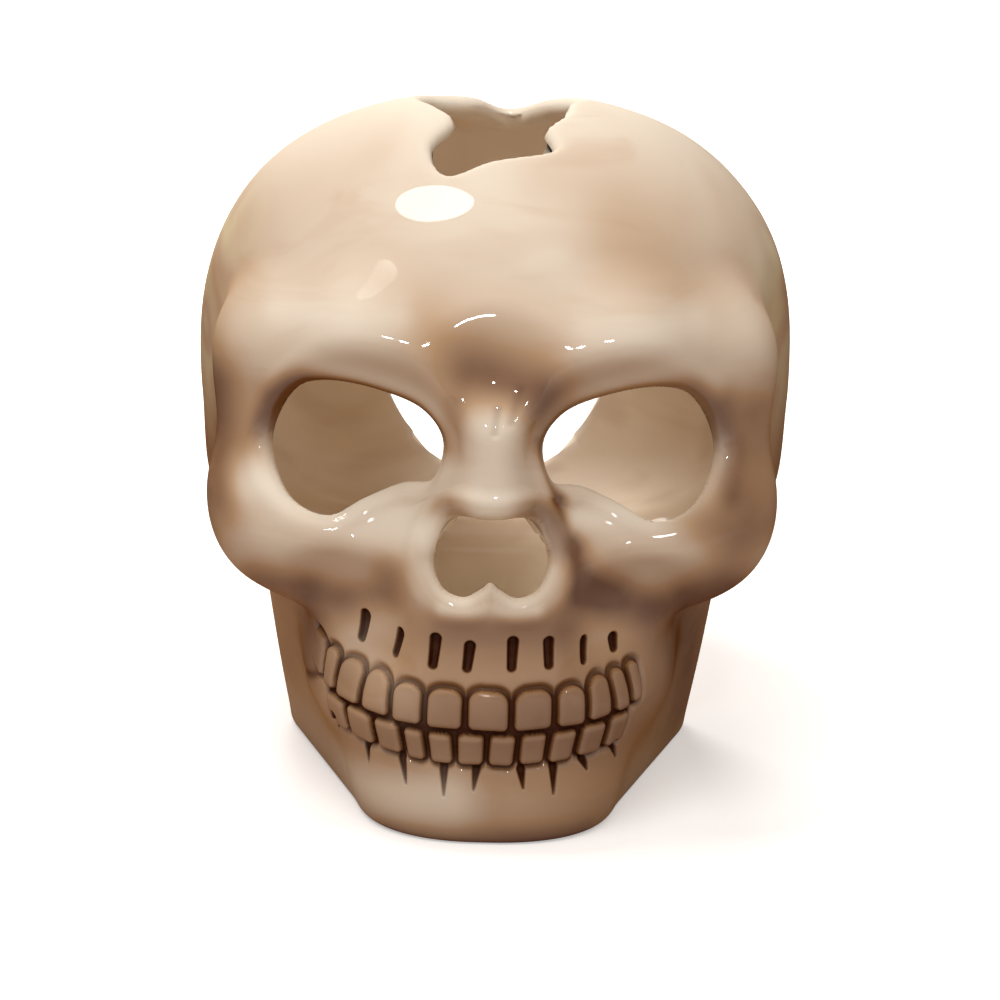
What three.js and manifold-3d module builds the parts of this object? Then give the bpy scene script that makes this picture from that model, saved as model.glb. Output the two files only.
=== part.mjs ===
// A glazed ceramic skull, cast hollow, that holds one tealight on the floor of its jaw.
// Millimetres, +Z up. The face looks along -Y and the skull stands on its flat base at Z = 0.
import * as THREE from "three";
import { mergeVertices } from "three/addons/utils/BufferGeometryUtils.js";
import Module from "manifold-3d";

const wasm = await Module();
wasm.setup();

// Driving sizes of the casting
const skullWidth = 113;
const skullDepth = 122;
const skullHeight = 125;
const wall = 4;
const clearance = 0.3;
const overrun = 1;

// How softly the forms of the casting run into each other
const formBlend = 9;
const browBlend = 14;
const hollowBlend = 6;
const edgeRound = 11;

// Cranium. Closed, its dome would stand out a little over the back opening and the crown hole
const craniumSetback = 6;
const doorBulge = 3.4;
const crownBulge = 0.7;
const craniumWidestHeight = 76;
const occiputHeight = 36;
const domeSquareness = 2.4;
const domeFullness = 2;

// Jaw: its base narrows from the angles of the jaw to the chin, and its sides lean out as they rise
const jawBackWidth = 87;
const chinWidth = 35;
const chinSetback = 5;
const jawDepth = 70;
const jawTop = 54;
const jawLean = 9;
const jawRound = 15;

// Openings
const eyeWidth = 30.6;
const eyeHeight = 24.5;
const eyeSpacing = 46.4;
const eyeMiddleHeight = 69.6;
const eyeCutDepth = 42;
const noseWidth = 19.6;
const noseHeight = 14.2;
const noseBottomHeight = 45.8;
const noseCutDepth = 26;
const doorWidth = 50;
const doorHeight = 49;
const doorSillHeight = 43.5;
const doorCutDepth = 30;
const crownHoleWidth = 29;
const crownHoleLength = 60;
const crownHoleSetback = 31;
const crownCutDepth = 26;

// Teeth. Each row starts at a place round the arch, left of its middle. The widths are shares of the widest
const upperToothWidth = 7.6;
const upperWidthShares = [0.84, 0.55, 0.8, 0.78, 0.76, 0.88, 1, 0.93, 0.74, 0.67, 0.51, 0.42];
const upperToothHeight = 7.3;
const upperStart = -38.7;
const lowerToothWidth = 6;
const lowerWidthShares = [0.98, 1, 0.88, 0.68, 0.8, 0.9, 0.88, 0.85, 0.83, 0.9, 0.83];
const lowerToothHeight = 5.8;
const lowerStart = -31.5;
const biteHeight = 22.6;
const smileRise = 3.6;
const smileSpan = 31;
const archHalfWidth = 32.5;
const archHalfDepth = 29.5;
const archSetback = 30.5;
const toothProud = 1;
const toothDepth = 3;
const toothGap = 0.9;
const toothCorner = 1.5;
const toothBevel = 0.4;
const rootSlots = 8;
const rootPitch = 6.6;
const rootSlotHeight = 5.2;
const rootSlotWidth = 1.6;
const rootSlotDepth = 1.2;
const rootSlotMiddle = 36;

// Tealight
const tealightDiameter = 38.5;
const tealightHeight = 16;
const foil = 0.4;
const tealightSetback = 42;
const rimRoll = 0.9;
const waxHeight = 13.4;
const waxDish = 0.8;
const tabDiameter = 12;
const tabThickness = 0.4;
const collarDiameter = 3.4;
const collarHeight = 4;
const wickDiameter = 1.6;
const wickAboveWax = 8;
const wickLean = 1.4;

// Facets
const skinColumns = 76;
const skinRows = 50;
const liningColumns = 32;
const liningRows = 22;
const faceBiasShare = 0.4;
const lathed = 28;
const cornerSteps = 2;
const slotSides = 8;
const slotRings = 6;
const wickSides = 4;
const wickSteps = 6;
const weldShare = 0.001;

const halfWidth = skullWidth / 2;
const halfDepth = skullDepth / 2;
const craniumLength = skullDepth + doorBulge - craniumSetback;
const craniumMiddle = halfDepth + doorBulge - craniumLength / 2;
const jawFront = chinSetback - halfDepth;
const jawBack = jawFront + jawDepth;
const archMiddle = archSetback - halfDepth;
const tealightMiddle = tealightSetback - halfDepth;

// The forms that swell out of the casting. Places and reaches are shares of half the width, half the
// depth and the height. A form with x above 0 stands on both sides.
const lumpShares = {
  maxilla: { at: [0, -0.575, 0.345], reach: [0.5, 0.375, 0.15] },
  teethBand: { at: [0, -0.5, 0.2], reach: [0.585, 0.471, 0.125] },
  chin: { at: [0, -0.74, 0.07], reach: [0.36, 0.17, 0.075] },
  cheekbone: { at: [0.56, -0.62, 0.43], reach: [0.29, 0.24, 0.11] },
};
const barShares = {
  cheekArch: { from: [0.69, -0.55, 0.44], to: [0.76, -0.05, 0.44], reach: 0.045 },
  innerBrow: { from: [0.1, -0.76, 0.63], to: [0.4, -0.73, 0.685], reach: 0.04 },
  outerBrow: { from: [0.4, -0.73, 0.685], to: [0.7, -0.54, 0.665], reach: 0.04 },
  outerRim: { from: [0.7, -0.54, 0.665], to: [0.71, -0.55, 0.5], reach: 0.04 },
  noseBridge: { from: [0, -0.77, 0.66], to: [0, -0.86, 0.49], reach: 0.045 },
};
const hollowShares = {
  orbit: { at: [0.46, -0.98, 0.563], reach: [0.35, 0.21, 0.125] },
  temple: { at: [1.14, -0.36, 0.68], reach: [0.22, 0.3, 0.2] },
  cheekHollow: { at: [0.47, -0.96, 0.32], reach: [0.2, 0.15, 0.09] },
  frown: { at: [0, -1.02, 0.71], reach: [0.17, 0.13, 0.08] },
};

// Outlines of the openings, as shares of half the opening's width and half its height
const eyeOutlineShares = [
  [0.25, 1], [-0.49, 0.79], [-0.85, 0.54], [-1, 0.15], [-0.87, -0.4], [-0.5, -0.53],
  [-0.06, -0.78], [0.35, -1], [0.8, -0.72], [1, 0], [0.72, 0.76],
];
const noseOutlineShares = [
  [0, 0.98], [0.56, 0.95], [0.87, 0.5], [1, -0.18], [0.84, -0.78], [0.48, -1], [0.18, -0.8], [0, -0.62],
  [-0.18, -0.8], [-0.48, -1], [-0.84, -0.78], [-1, -0.18], [-0.87, 0.5], [-0.56, 0.95],
];
const doorOutlineShares = [
  [0, -1], [0.46, -0.98], [0.86, -0.52], [1, 0.05], [0.8, 0.62], [0.42, 0.92],
  [0, 1], [-0.42, 0.92], [-0.8, 0.62], [-1, 0.05], [-0.86, -0.52], [-0.46, -0.98],
];
const crownOutlineShares = [
  [-0.62, -1], [-0.1, -0.9], [0.62, -0.78], [0.56, -0.55], [0.78, -0.3], [0.86, 0], [1, 0.3],
  [0.7, 0.62], [0.14, 1], [-0.3, 0.72], [-0.85, 0.5], [-1, 0.12], [-0.76, -0.2], [-0.56, -0.45],
  [-0.82, -0.75],
];
const curveSteps = 44;

const atShares = ([x, y, z]) => new THREE.Vector3(x * halfWidth, y * halfDepth, z * skullHeight);
const sized = ({ at, reach }) => ({ at: atShares(at), reach: atShares(reach) });
const lumps = Object.values(lumpShares).map(sized);
const hollows = Object.values(hollowShares).map(sized);
const bars = Object.values(barShares).map(({ from, to, reach }) => ({
  line: new THREE.Line3(atShares(from), atShares(to)),
  reach: reach * skullHeight,
}));

// Smooth joins: two forms run together within the blend, and two limits round off where they meet
function join(a, b, blend) {
  const near = Math.max(blend - Math.abs(a - b), 0);
  return Math.min(a, b) - (near * near) / (4 * blend);
}

function limit(a, b, blend) {
  return -join(-a, -b, blend);
}

// How far a point lies outside an ellipsoid
function outsideLump(point, { at, reach }) {
  const rest = point.clone().sub(at);
  const scaled = rest.clone().divide(reach);
  const steep = scaled.clone().divide(reach).length();
  return steep ? (scaled.length() * (scaled.length() - 1)) / steep : -reach.x;
}

const nearest = new THREE.Vector3();

function outsideBar(point, { line, reach }) {
  line.closestPointToPoint(point, true, nearest);
  return point.distanceTo(nearest) - reach;
}

// The braincase is squarer than an ellipsoid from the front, and its underside is level
function outsideCranium({ x, y, z }) {
  const rise = skullHeight + crownBulge - craniumWidestHeight;
  const sideways = Math.abs(x / halfWidth) ** domeSquareness;
  const upright = Math.abs((z - craniumWidestHeight) / rise) ** domeSquareness;
  const along = Math.abs((2 * (y - craniumMiddle)) / craniumLength) ** domeFullness;
  const size = ((sideways + upright) ** (domeFullness / domeSquareness) + along) ** (1 / domeFullness);
  return limit((size - 1) * rise, occiputHeight - z, edgeRound);
}

// The jaw is a wedge in plan: two slanted sides, a chin and a back
function outsideJaw({ x, y, z }) {
  const slope = (jawBackWidth - chinWidth) / 2 / jawDepth;
  const lean = (jawLean * z) / jawTop;
  const side = (x - chinWidth / 2 - lean - (y - jawFront) * slope) / Math.hypot(1, slope);
  const ends = limit(jawFront - y, y - jawBack, jawRound);
  return limit(limit(side, ends, jawRound), z - jawTop, edgeRound);
}

// The whole outer form, before anything is cut. Both sides are alike, so x is folded over
function outsideSkull(point) {
  const folded = point.clone();
  folded.x = Math.abs(folded.x);
  let gap = join(outsideCranium(folded), outsideJaw(folded), formBlend);
  for (const lump of lumps) gap = join(gap, outsideLump(folded, lump), formBlend);
  for (const bar of bars) gap = join(gap, outsideBar(folded, bar), browBlend);
  for (const hollow of hollows) gap = limit(gap, -outsideLump(folded, hollow), hollowBlend);
  return limit(gap, -folded.z - edgeRound, edgeRound);
}

// The skin is a ball of rays from the heart of the skull. Its poles lie in the nose and in the back opening
const heartHeight = (occiputHeight + craniumWidestHeight) / 2 + wall;
const heart = new THREE.Vector3(0, craniumMiddle - formBlend, heartHeight);
const noseMiddleHeight = noseBottomHeight + noseHeight / 2;
const doorMiddleHeight = doorSillHeight + doorHeight / 2;
const crownHoleMiddle = crownHoleSetback - halfDepth + crownHoleLength / 2;
const poleTilt = Math.atan2(heart.z - noseMiddleHeight, halfDepth + heart.y);
const scanSteps = 60;
const halvings = 22;

// Walks in along a ray to the place where the form is a given depth under its surface
function reachAlong(ray, depth) {
  const spot = new THREE.Vector3();
  const gapAt = (far) => outsideSkull(spot.copy(heart).addScaledVector(ray, far)) + depth;
  const step = skullDepth / scanSteps;
  let outer = skullDepth;
  while (outer > step && gapAt(outer - step) > 0) outer -= step;
  let inner = outer - step;
  for (let i = 0; i < halvings; i++) {
    const middle = (outer + inner) / 2;
    if (gapAt(middle) > 0) outer = middle;
    else inner = middle;
  }
  return outer;
}

function skin(depth, columns, rows) {
  const ball = new THREE.SphereGeometry(1, columns, rows);
  const place = ball.attributes.position;
  const ray = new THREE.Vector3();
  const tilt = new THREE.Matrix4().makeRotationX(poleTilt);
  for (let i = 0; i < place.count; i++) {
    ray.fromBufferAttribute(place, i);
    const share = Math.acos(THREE.MathUtils.clamp(-ray.y, -1, 1)) / Math.PI;
    const polar = Math.PI * (share + faceBiasShare * (share * share - share));
    const round = Math.atan2(ray.z, ray.x);
    ray.set(Math.sin(polar) * Math.cos(round), -Math.cos(polar), Math.sin(polar) * Math.sin(round));
    ray.applyMatrix4(tilt);
    ray.multiplyScalar(reachAlong(ray, depth)).add(heart);
    place.setXYZ(i, ray.x, ray.y, ray.z);
  }
  ball.setIndex(shortestDiagonals(place, columns, rows));
  return ball;
}

// Splits each four-cornered facet of a ball along its shorter diagonal, so that both sides facet alike
function shortestDiagonals(place, columns, rows) {
  const at = (row, column) => row * (columns + 1) + column;
  const corner = (row, column) => new THREE.Vector3().fromBufferAttribute(place, at(row, column));
  const index = [];
  for (let row = 0; row < rows; row++) {
    for (let column = 0; column < columns; column++) {
      const b = at(row, column);
      const a = b + 1;
      const c = b + columns + 1;
      const d = c + 1;
      if (row === 0) index.push(b, c, d);
      else if (row === rows - 1) index.push(a, b, d);
      else {
        const falling = corner(row, column).distanceTo(corner(row + 1, column + 1));
        const rising = corner(row, column + 1).distanceTo(corner(row + 1, column));
        if (falling <= rising) index.push(a, b, d, b, c, d);
        else index.push(a, b, c, a, c, d);
      }
    }
  }
  return index;
}

// Solids
function solid(geometry) {
  const bare = geometry.clone();
  bare.deleteAttribute("normal");
  bare.deleteAttribute("uv");
  const merged = mergeVertices(bare, clearance * weldShare);
  return new wasm.Manifold(
    new wasm.Mesh({
      numProp: 3,
      vertProperties: merged.attributes.position.array,
      triVerts: new Uint32Array(merged.index.array),
    }),
  );
}

function geometryOf(manifold) {
  const mesh = manifold.getMesh();
  const geometry = new THREE.BufferGeometry();
  geometry.setAttribute("position", new THREE.BufferAttribute(mesh.vertProperties, 3));
  geometry.setIndex(new THREE.BufferAttribute(mesh.triVerts, 1));
  geometry.computeVertexNormals();
  return geometry;
}

// A prism on a smooth closed outline. It rises along +Z from nothing to its length
function prism(outlineShares, width, height, length) {
  const corners = outlineShares.map(([u, v]) => new THREE.Vector3((u * width) / 2, (v * height) / 2, 0));
  const curve = new THREE.CatmullRomCurve3(corners, true);
  const shape = new THREE.Shape(curve.getPoints(curveSteps).slice(0, curveSteps));
  return new THREE.ExtrudeGeometry(shape, { depth: length, bevelEnabled: false });
}

// The three ways the openings are cut: from the front, from the back and from above
function cutFromFront(outlineShares, width, height, length, x, z) {
  const end = length - halfDepth - overrun;
  return prism(outlineShares, width, height, length).rotateX(Math.PI / 2).translate(x, end, z);
}

function cutFromBack(outlineShares, width, height, length, z) {
  const end = halfDepth + doorBulge + overrun;
  return prism(outlineShares, width, height, length).rotateX(Math.PI / 2).translate(0, end, z);
}

function cutFromAbove(outlineShares, width, length, depth, y) {
  const start = skullHeight + crownBulge + overrun - depth;
  return prism(outlineShares, width, length, depth).translate(0, y, start);
}

function eyeCut(side) {
  const sided = eyeOutlineShares.map(([u, v]) => [u * side, v]);
  const outline = side > 0 ? sided : sided.reverse();
  return cutFromFront(outline, eyeWidth, eyeHeight, eyeCutDepth, (side * eyeSpacing) / 2, eyeMiddleHeight);
}

// A place on the skin at a distance round the arch of the teeth and a height at its middle, which rises to
// both sides. Returns the matrix that stands a piece there with its back to the skull
function onArch(along, height) {
  const angle = (2 * along) / (archHalfWidth + archHalfDepth);
  const sideways = Math.sin(angle);
  const forward = Math.cos(angle);
  const risen = height + smileRise * (along / smileSpan) ** 2;
  const way = new THREE.Vector3(archHalfWidth * sideways, archMiddle - archHalfDepth * forward, risen);
  way.sub(heart).normalize();
  const spot = heart.clone().addScaledVector(way, reachAlong(way, 0));
  return new THREE.Matrix4()
    .makeRotationZ(Math.atan2(sideways * archHalfDepth, forward * archHalfWidth))
    .setPosition(spot);
}

// A tooth is a rounded slab, sunk into the skin with its face standing proud
function tooth(along, wide, height, middle) {
  const width = wide - toothGap;
  const tall = height - toothGap / 2;
  const corner = toothCorner;
  const outline = new THREE.Shape();
  outline.moveTo(corner - width / 2, -tall / 2);
  outline.quadraticCurveTo(width / 2, -tall / 2, width / 2, corner - tall / 2);
  outline.quadraticCurveTo(width / 2, tall / 2, width / 2 - corner, tall / 2);
  outline.quadraticCurveTo(-width / 2, tall / 2, -width / 2, tall / 2 - corner);
  outline.quadraticCurveTo(-width / 2, -tall / 2, corner - width / 2, -tall / 2);
  const slab = new THREE.ExtrudeGeometry(outline, {
    depth: toothDepth,
    curveSegments: cornerSteps,
    bevelThickness: toothBevel,
    bevelSize: toothBevel,
    bevelOffset: -toothBevel,
    bevelSegments: 1,
  });
  return slab
    .rotateX(Math.PI / 2)
    .translate(0, toothDepth + toothBevel - toothProud, 0)
    .applyMatrix4(onArch(along, middle));
}

// The slots carved between the roots of the upper teeth
function rootSlot(along) {
  const slot = new THREE.SphereGeometry(1, slotSides, slotRings);
  slot.scale(rootSlotWidth / 2, rootSlotDepth, rootSlotHeight / 2);
  return slot.applyMatrix4(onArch(along, rootSlotMiddle));
}

function toothRow(start, width, widthShares, height, middle) {
  let edge = start;
  return widthShares.map((share) => {
    const along = edge + (share * width) / 2;
    edge += share * width;
    return tooth(along, share * width, height, middle);
  });
}

function skullSolid() {
  let body = solid(skin(0, skinColumns, skinRows));
  const upperMiddle = biteHeight + upperToothHeight / 2;
  const lowerMiddle = biteHeight - lowerToothHeight / 2;
  const teeth = [
    ...toothRow(upperStart, upperToothWidth, upperWidthShares, upperToothHeight, upperMiddle),
    ...toothRow(lowerStart, lowerToothWidth, lowerWidthShares, lowerToothHeight, lowerMiddle),
  ];
  for (const each of teeth) body = body.add(solid(each));
  for (let i = 0; i < rootSlots; i++) {
    body = body.subtract(solid(rootSlot(rootPitch * (i - (rootSlots - 1) / 2))));
  }
  const under = new THREE.BoxGeometry(2 * skullWidth, 2 * skullDepth, skullHeight);
  under.translate(0, 0, -skullHeight / 2);
  const lining = solid(skin(wall, liningColumns, liningRows));
  const floorBlock = under.clone().translate(0, 0, wall);
  const cuts = [
    eyeCut(-1),
    eyeCut(1),
    cutFromFront(noseOutlineShares, noseWidth, noseHeight, noseCutDepth, 0, noseMiddleHeight),
    cutFromBack(doorOutlineShares, doorWidth, doorHeight, doorCutDepth, doorMiddleHeight),
    cutFromAbove(crownOutlineShares, crownHoleWidth, crownHoleLength, crownCutDepth, crownHoleMiddle),
  ];
  body = body.subtract(solid(under)).subtract(lining.subtract(solid(floorBlock)));
  for (const cut of cuts) body = body.subtract(solid(cut));
  return geometryOf(body);
}

// Tealight: a pressed cup, its wax, and a wick held by a tab on the cup's floor
const lathe = (points) =>
  new THREE.LatheGeometry(
    points.map(([r, z]) => new THREE.Vector2(r, z)),
    lathed,
  ).rotateX(Math.PI / 2);

const cupRadius = tealightDiameter / 2;
const cupBore = cupRadius - rimRoll;
const waxRadius = cupBore - foil - clearance;
const waxTop = foil + waxHeight;

function cupSolid() {
  const outer = cupRadius - rimRoll;
  return lathe([
    [0, 0],
    [outer - rimRoll, 0],
    [outer, rimRoll],
    [outer, tealightHeight - rimRoll],
    [cupRadius, tealightHeight - rimRoll],
    [cupRadius, tealightHeight - foil],
    [cupRadius - foil, tealightHeight],
    [outer - foil, tealightHeight],
    [outer - foil, rimRoll + foil],
    [outer - rimRoll, foil],
    [0, foil],
  ]);
}

function waxSolid() {
  const foot = waxRadius - rimRoll;
  const tabRoom = tabDiameter / 2 + clearance;
  const collarRoom = collarDiameter / 2 + clearance;
  const bore = wickDiameter / 2 + clearance;
  const tabTop = foil + tabThickness + clearance;
  const collarTop = foil + collarHeight + clearance;
  return lathe([
    [tabRoom, foil],
    [foot, foil],
    [waxRadius, foil + rimRoll + clearance],
    [waxRadius, waxTop],
    [waxRadius - waxDish, waxTop - waxDish / 2],
    [bore + waxDish, waxTop - waxDish],
    [bore, waxTop - waxDish],
    [bore, collarTop],
    [collarRoom, collarTop],
    [collarRoom, tabTop],
    [tabRoom, tabTop],
    [tabRoom, foil],
  ]);
}

function tabSolid() {
  const bore = wickDiameter / 2 + clearance / 2;
  const collar = collarDiameter / 2;
  const top = foil + tabThickness;
  return lathe([
    [bore, foil],
    [tabDiameter / 2, foil],
    [tabDiameter / 2, top],
    [collar, top],
    [collar, foil + collarHeight],
    [bore, foil + collarHeight],
    [bore, foil],
  ]);
}

function wickSolid() {
  const section = new THREE.Shape();
  section.absarc(0, 0, wickDiameter / 2, 0, 2 * Math.PI, false);
  const upright = new THREE.Vector3(0, 0, 1);
  const foot = new THREE.Vector3(0, 0, foil);
  const neck = new THREE.Vector3(0, 0, waxTop);
  const bend = neck.clone().addScaledVector(upright, wickAboveWax / 2);
  const tip = new THREE.Vector3(wickLean, 0, waxTop + wickAboveWax);
  const path = new THREE.CurvePath();
  path.add(new THREE.LineCurve3(foot, neck));
  path.add(new THREE.QuadraticBezierCurve3(neck, bend, tip));
  return new THREE.ExtrudeGeometry(section, {
    steps: wickSteps,
    extrudePath: path,
    curveSegments: wickSides,
  });
}

// Finishes
const glaze = new THREE.MeshStandardMaterial({ color: 0xe6d3bf, roughness: 0.12, metalness: 0 });
const foilMetal = new THREE.MeshStandardMaterial({ color: 0xc9ccd0, roughness: 0.3, metalness: 1 });
const tinplate = new THREE.MeshStandardMaterial({ color: 0xb4b6b8, roughness: 0.35, metalness: 1 });
const wax = new THREE.MeshStandardMaterial({ color: 0xf2ead8, roughness: 0.45, metalness: 0 });
const cotton = new THREE.MeshStandardMaterial({ color: 0xe9e2d0, roughness: 0.95, metalness: 0 });

function named(name, geometry, material) {
  const mesh = new THREE.Mesh(geometry, material);
  mesh.name = name;
  return mesh;
}

const tealight = new THREE.Group();
tealight.position.set(0, tealightMiddle, wall);
tealight.add(
  named("tealight_cup", cupSolid(), foilMetal),
  named("tealight_wax", waxSolid(), wax),
  named("wick_tab", tabSolid(), tinplate),
  named("wick", wickSolid(), cotton),
);

const candleHolder = new THREE.Group();
candleHolder.add(named("skull", skullSolid(), glaze), tealight);

export default candleHolder;
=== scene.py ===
import math
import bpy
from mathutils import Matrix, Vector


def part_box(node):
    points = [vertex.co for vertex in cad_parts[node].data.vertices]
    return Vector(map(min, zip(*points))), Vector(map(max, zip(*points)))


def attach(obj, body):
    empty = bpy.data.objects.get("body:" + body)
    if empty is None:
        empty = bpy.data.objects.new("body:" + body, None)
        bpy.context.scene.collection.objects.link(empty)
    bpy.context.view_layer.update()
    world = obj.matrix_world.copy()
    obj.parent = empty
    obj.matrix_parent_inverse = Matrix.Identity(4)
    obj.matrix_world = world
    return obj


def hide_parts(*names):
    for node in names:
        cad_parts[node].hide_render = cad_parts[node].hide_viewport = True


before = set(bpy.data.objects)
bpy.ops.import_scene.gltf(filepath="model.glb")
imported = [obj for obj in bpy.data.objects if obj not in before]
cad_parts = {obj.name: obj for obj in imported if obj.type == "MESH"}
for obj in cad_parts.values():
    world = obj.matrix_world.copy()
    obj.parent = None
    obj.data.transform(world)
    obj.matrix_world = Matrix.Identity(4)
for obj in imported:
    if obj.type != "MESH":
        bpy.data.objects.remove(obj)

from types import SimpleNamespace

import bmesh
import bpy
import numpy as np
from bpy.props import FloatProperty, FloatVectorProperty, IntProperty, PointerProperty
from mathutils import Matrix, Vector

bl_info = {
    "name": "Skull candle holder",
    "version": (1, 0, 0),
    "blender": (4, 5, 0),
    "location": "3D View > Sidebar > Skull",
    "description": "A hollow glazed ceramic skull and the tealight that stands in its jaw",
    "category": "Add Mesh",
}

MM = 0.001
DEGREE = math.pi / 180

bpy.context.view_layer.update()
skull_low, skull_high = np.array(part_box("skull"))
cup_low, cup_high = np.array(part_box("tealight_cup"))
wax_low, wax_high = np.array(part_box("tealight_wax"))
tab_low, tab_high = np.array(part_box("wick_tab"))
wick_low, wick_high = np.array(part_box("wick"))

half_width, half_depth = (skull_high - skull_low)[:2] / 2
skull_height = skull_high[2]
skull_reach = np.array([half_width, half_depth, skull_height])

# The swellings, ridges and hollows of the casting, as shares of half its width, half its depth and its
# height. A form with x above 0 stands on both sides
LUMP_SHARES = {
    "maxilla": ((0, -0.575, 0.345), (0.5, 0.375, 0.15)),
    "teeth_band": ((0, -0.5, 0.2), (0.585, 0.471, 0.125)),
    "chin": ((0, -0.74, 0.07), (0.36, 0.17, 0.075)),
    "cheekbone": ((0.56, -0.62, 0.43), (0.29, 0.24, 0.11)),
}
RIDGE_SHARES = {
    "cheek_arch": ((0.69, -0.55, 0.44), (0.76, -0.05, 0.44), 0.045),
    "inner_brow": ((0.1, -0.76, 0.63), (0.4, -0.73, 0.685), 0.04),
    "outer_brow": ((0.4, -0.73, 0.685), (0.7, -0.54, 0.665), 0.04),
    "outer_rim": ((0.7, -0.54, 0.665), (0.71, -0.55, 0.5), 0.04),
    "nose_bridge": ((0, -0.77, 0.66), (0, -0.86, 0.49), 0.045),
}
HOLLOW_SHARES = {
    "orbit": ((0.46, -0.98, 0.563), (0.35, 0.21, 0.125)),
    "temple": ((1.14, -0.36, 0.68), (0.22, 0.3, 0.2)),
    "cheek_hollow": ((0.47, -0.96, 0.32), (0.2, 0.15, 0.09)),
    "frown": ((0, -1.02, 0.71), (0.17, 0.13, 0.08)),
}

# The outlines of the openings, as shares of half their width and half their height
EYE_OUTLINE_SHARES = (
    (0.25, 1), (-0.49, 0.79), (-0.85, 0.54), (-1, 0.15), (-0.87, -0.4), (-0.5, -0.53),
    (-0.06, -0.78), (0.35, -1), (0.8, -0.72), (1, 0), (0.72, 0.76),
)
NOSE_OUTLINE_SHARES = (
    (0, 0.98), (0.56, 0.95), (0.87, 0.5), (1, -0.18), (0.84, -0.78), (0.48, -1), (0.18, -0.8),
    (0, -0.62), (-0.18, -0.8), (-0.48, -1), (-0.84, -0.78), (-1, -0.18), (-0.87, 0.5), (-0.56, 0.95),
)
DOOR_OUTLINE_SHARES = (
    (0, -1), (0.46, -0.98), (0.86, -0.52), (1, 0.05), (0.8, 0.62), (0.42, 0.92),
    (0, 1), (-0.42, 0.92), (-0.8, 0.62), (-1, 0.05), (-0.86, -0.52), (-0.46, -0.98),
)
CROWN_OUTLINE_SHARES = (
    (-0.62, -1), (-0.1, -0.9), (0.62, -0.78), (0.56, -0.55), (0.78, -0.3), (0.86, 0), (1, 0.3),
    (0.7, 0.62), (0.14, 1), (-0.3, 0.72), (-0.85, 0.5), (-1, 0.12), (-0.76, -0.2), (-0.56, -0.45),
    (-0.82, -0.75),
)

# The slots over the roots and the nicks under the lower teeth. Each goes from its top to its foot, first
# round the arch as a share of its half width and then up as a share of the height of the bite
ROOT_SLOT_SHARES = (
    ((-0.762, 1.7), (-0.776, 1.51)), ((-0.499, 1.69), (-0.521, 1.52)), ((-0.275, 1.74), (-0.287, 1.52)),
    ((-0.098, 1.7), (-0.111, 1.52)), ((0.125, 1.74), (0.12, 1.53)), ((0.311, 1.72), (0.313, 1.53)),
    ((0.551, 1.63), (0.534, 1.49)), ((0.757, 1.56), (0.755, 1.48)),
)
NICK_SHARES = (
    ((-0.9, 0.8), (-0.96, 0.62)), ((-0.686, 0.7), (-0.694, 0.52)), ((-0.462, 0.69), (-0.444, 0.46)),
    ((-0.23, 0.67), (-0.23, 0.42)), ((-0.054, 0.68), (-0.068, 0.49)), ((0.185, 0.67), (0.202, 0.5)),
    ((0.361, 0.67), (0.372, 0.42)), ((0.528, 0.68), (0.566, 0.56)), ((0.711, 0.73), (0.791, 0.54)),
)

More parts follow.
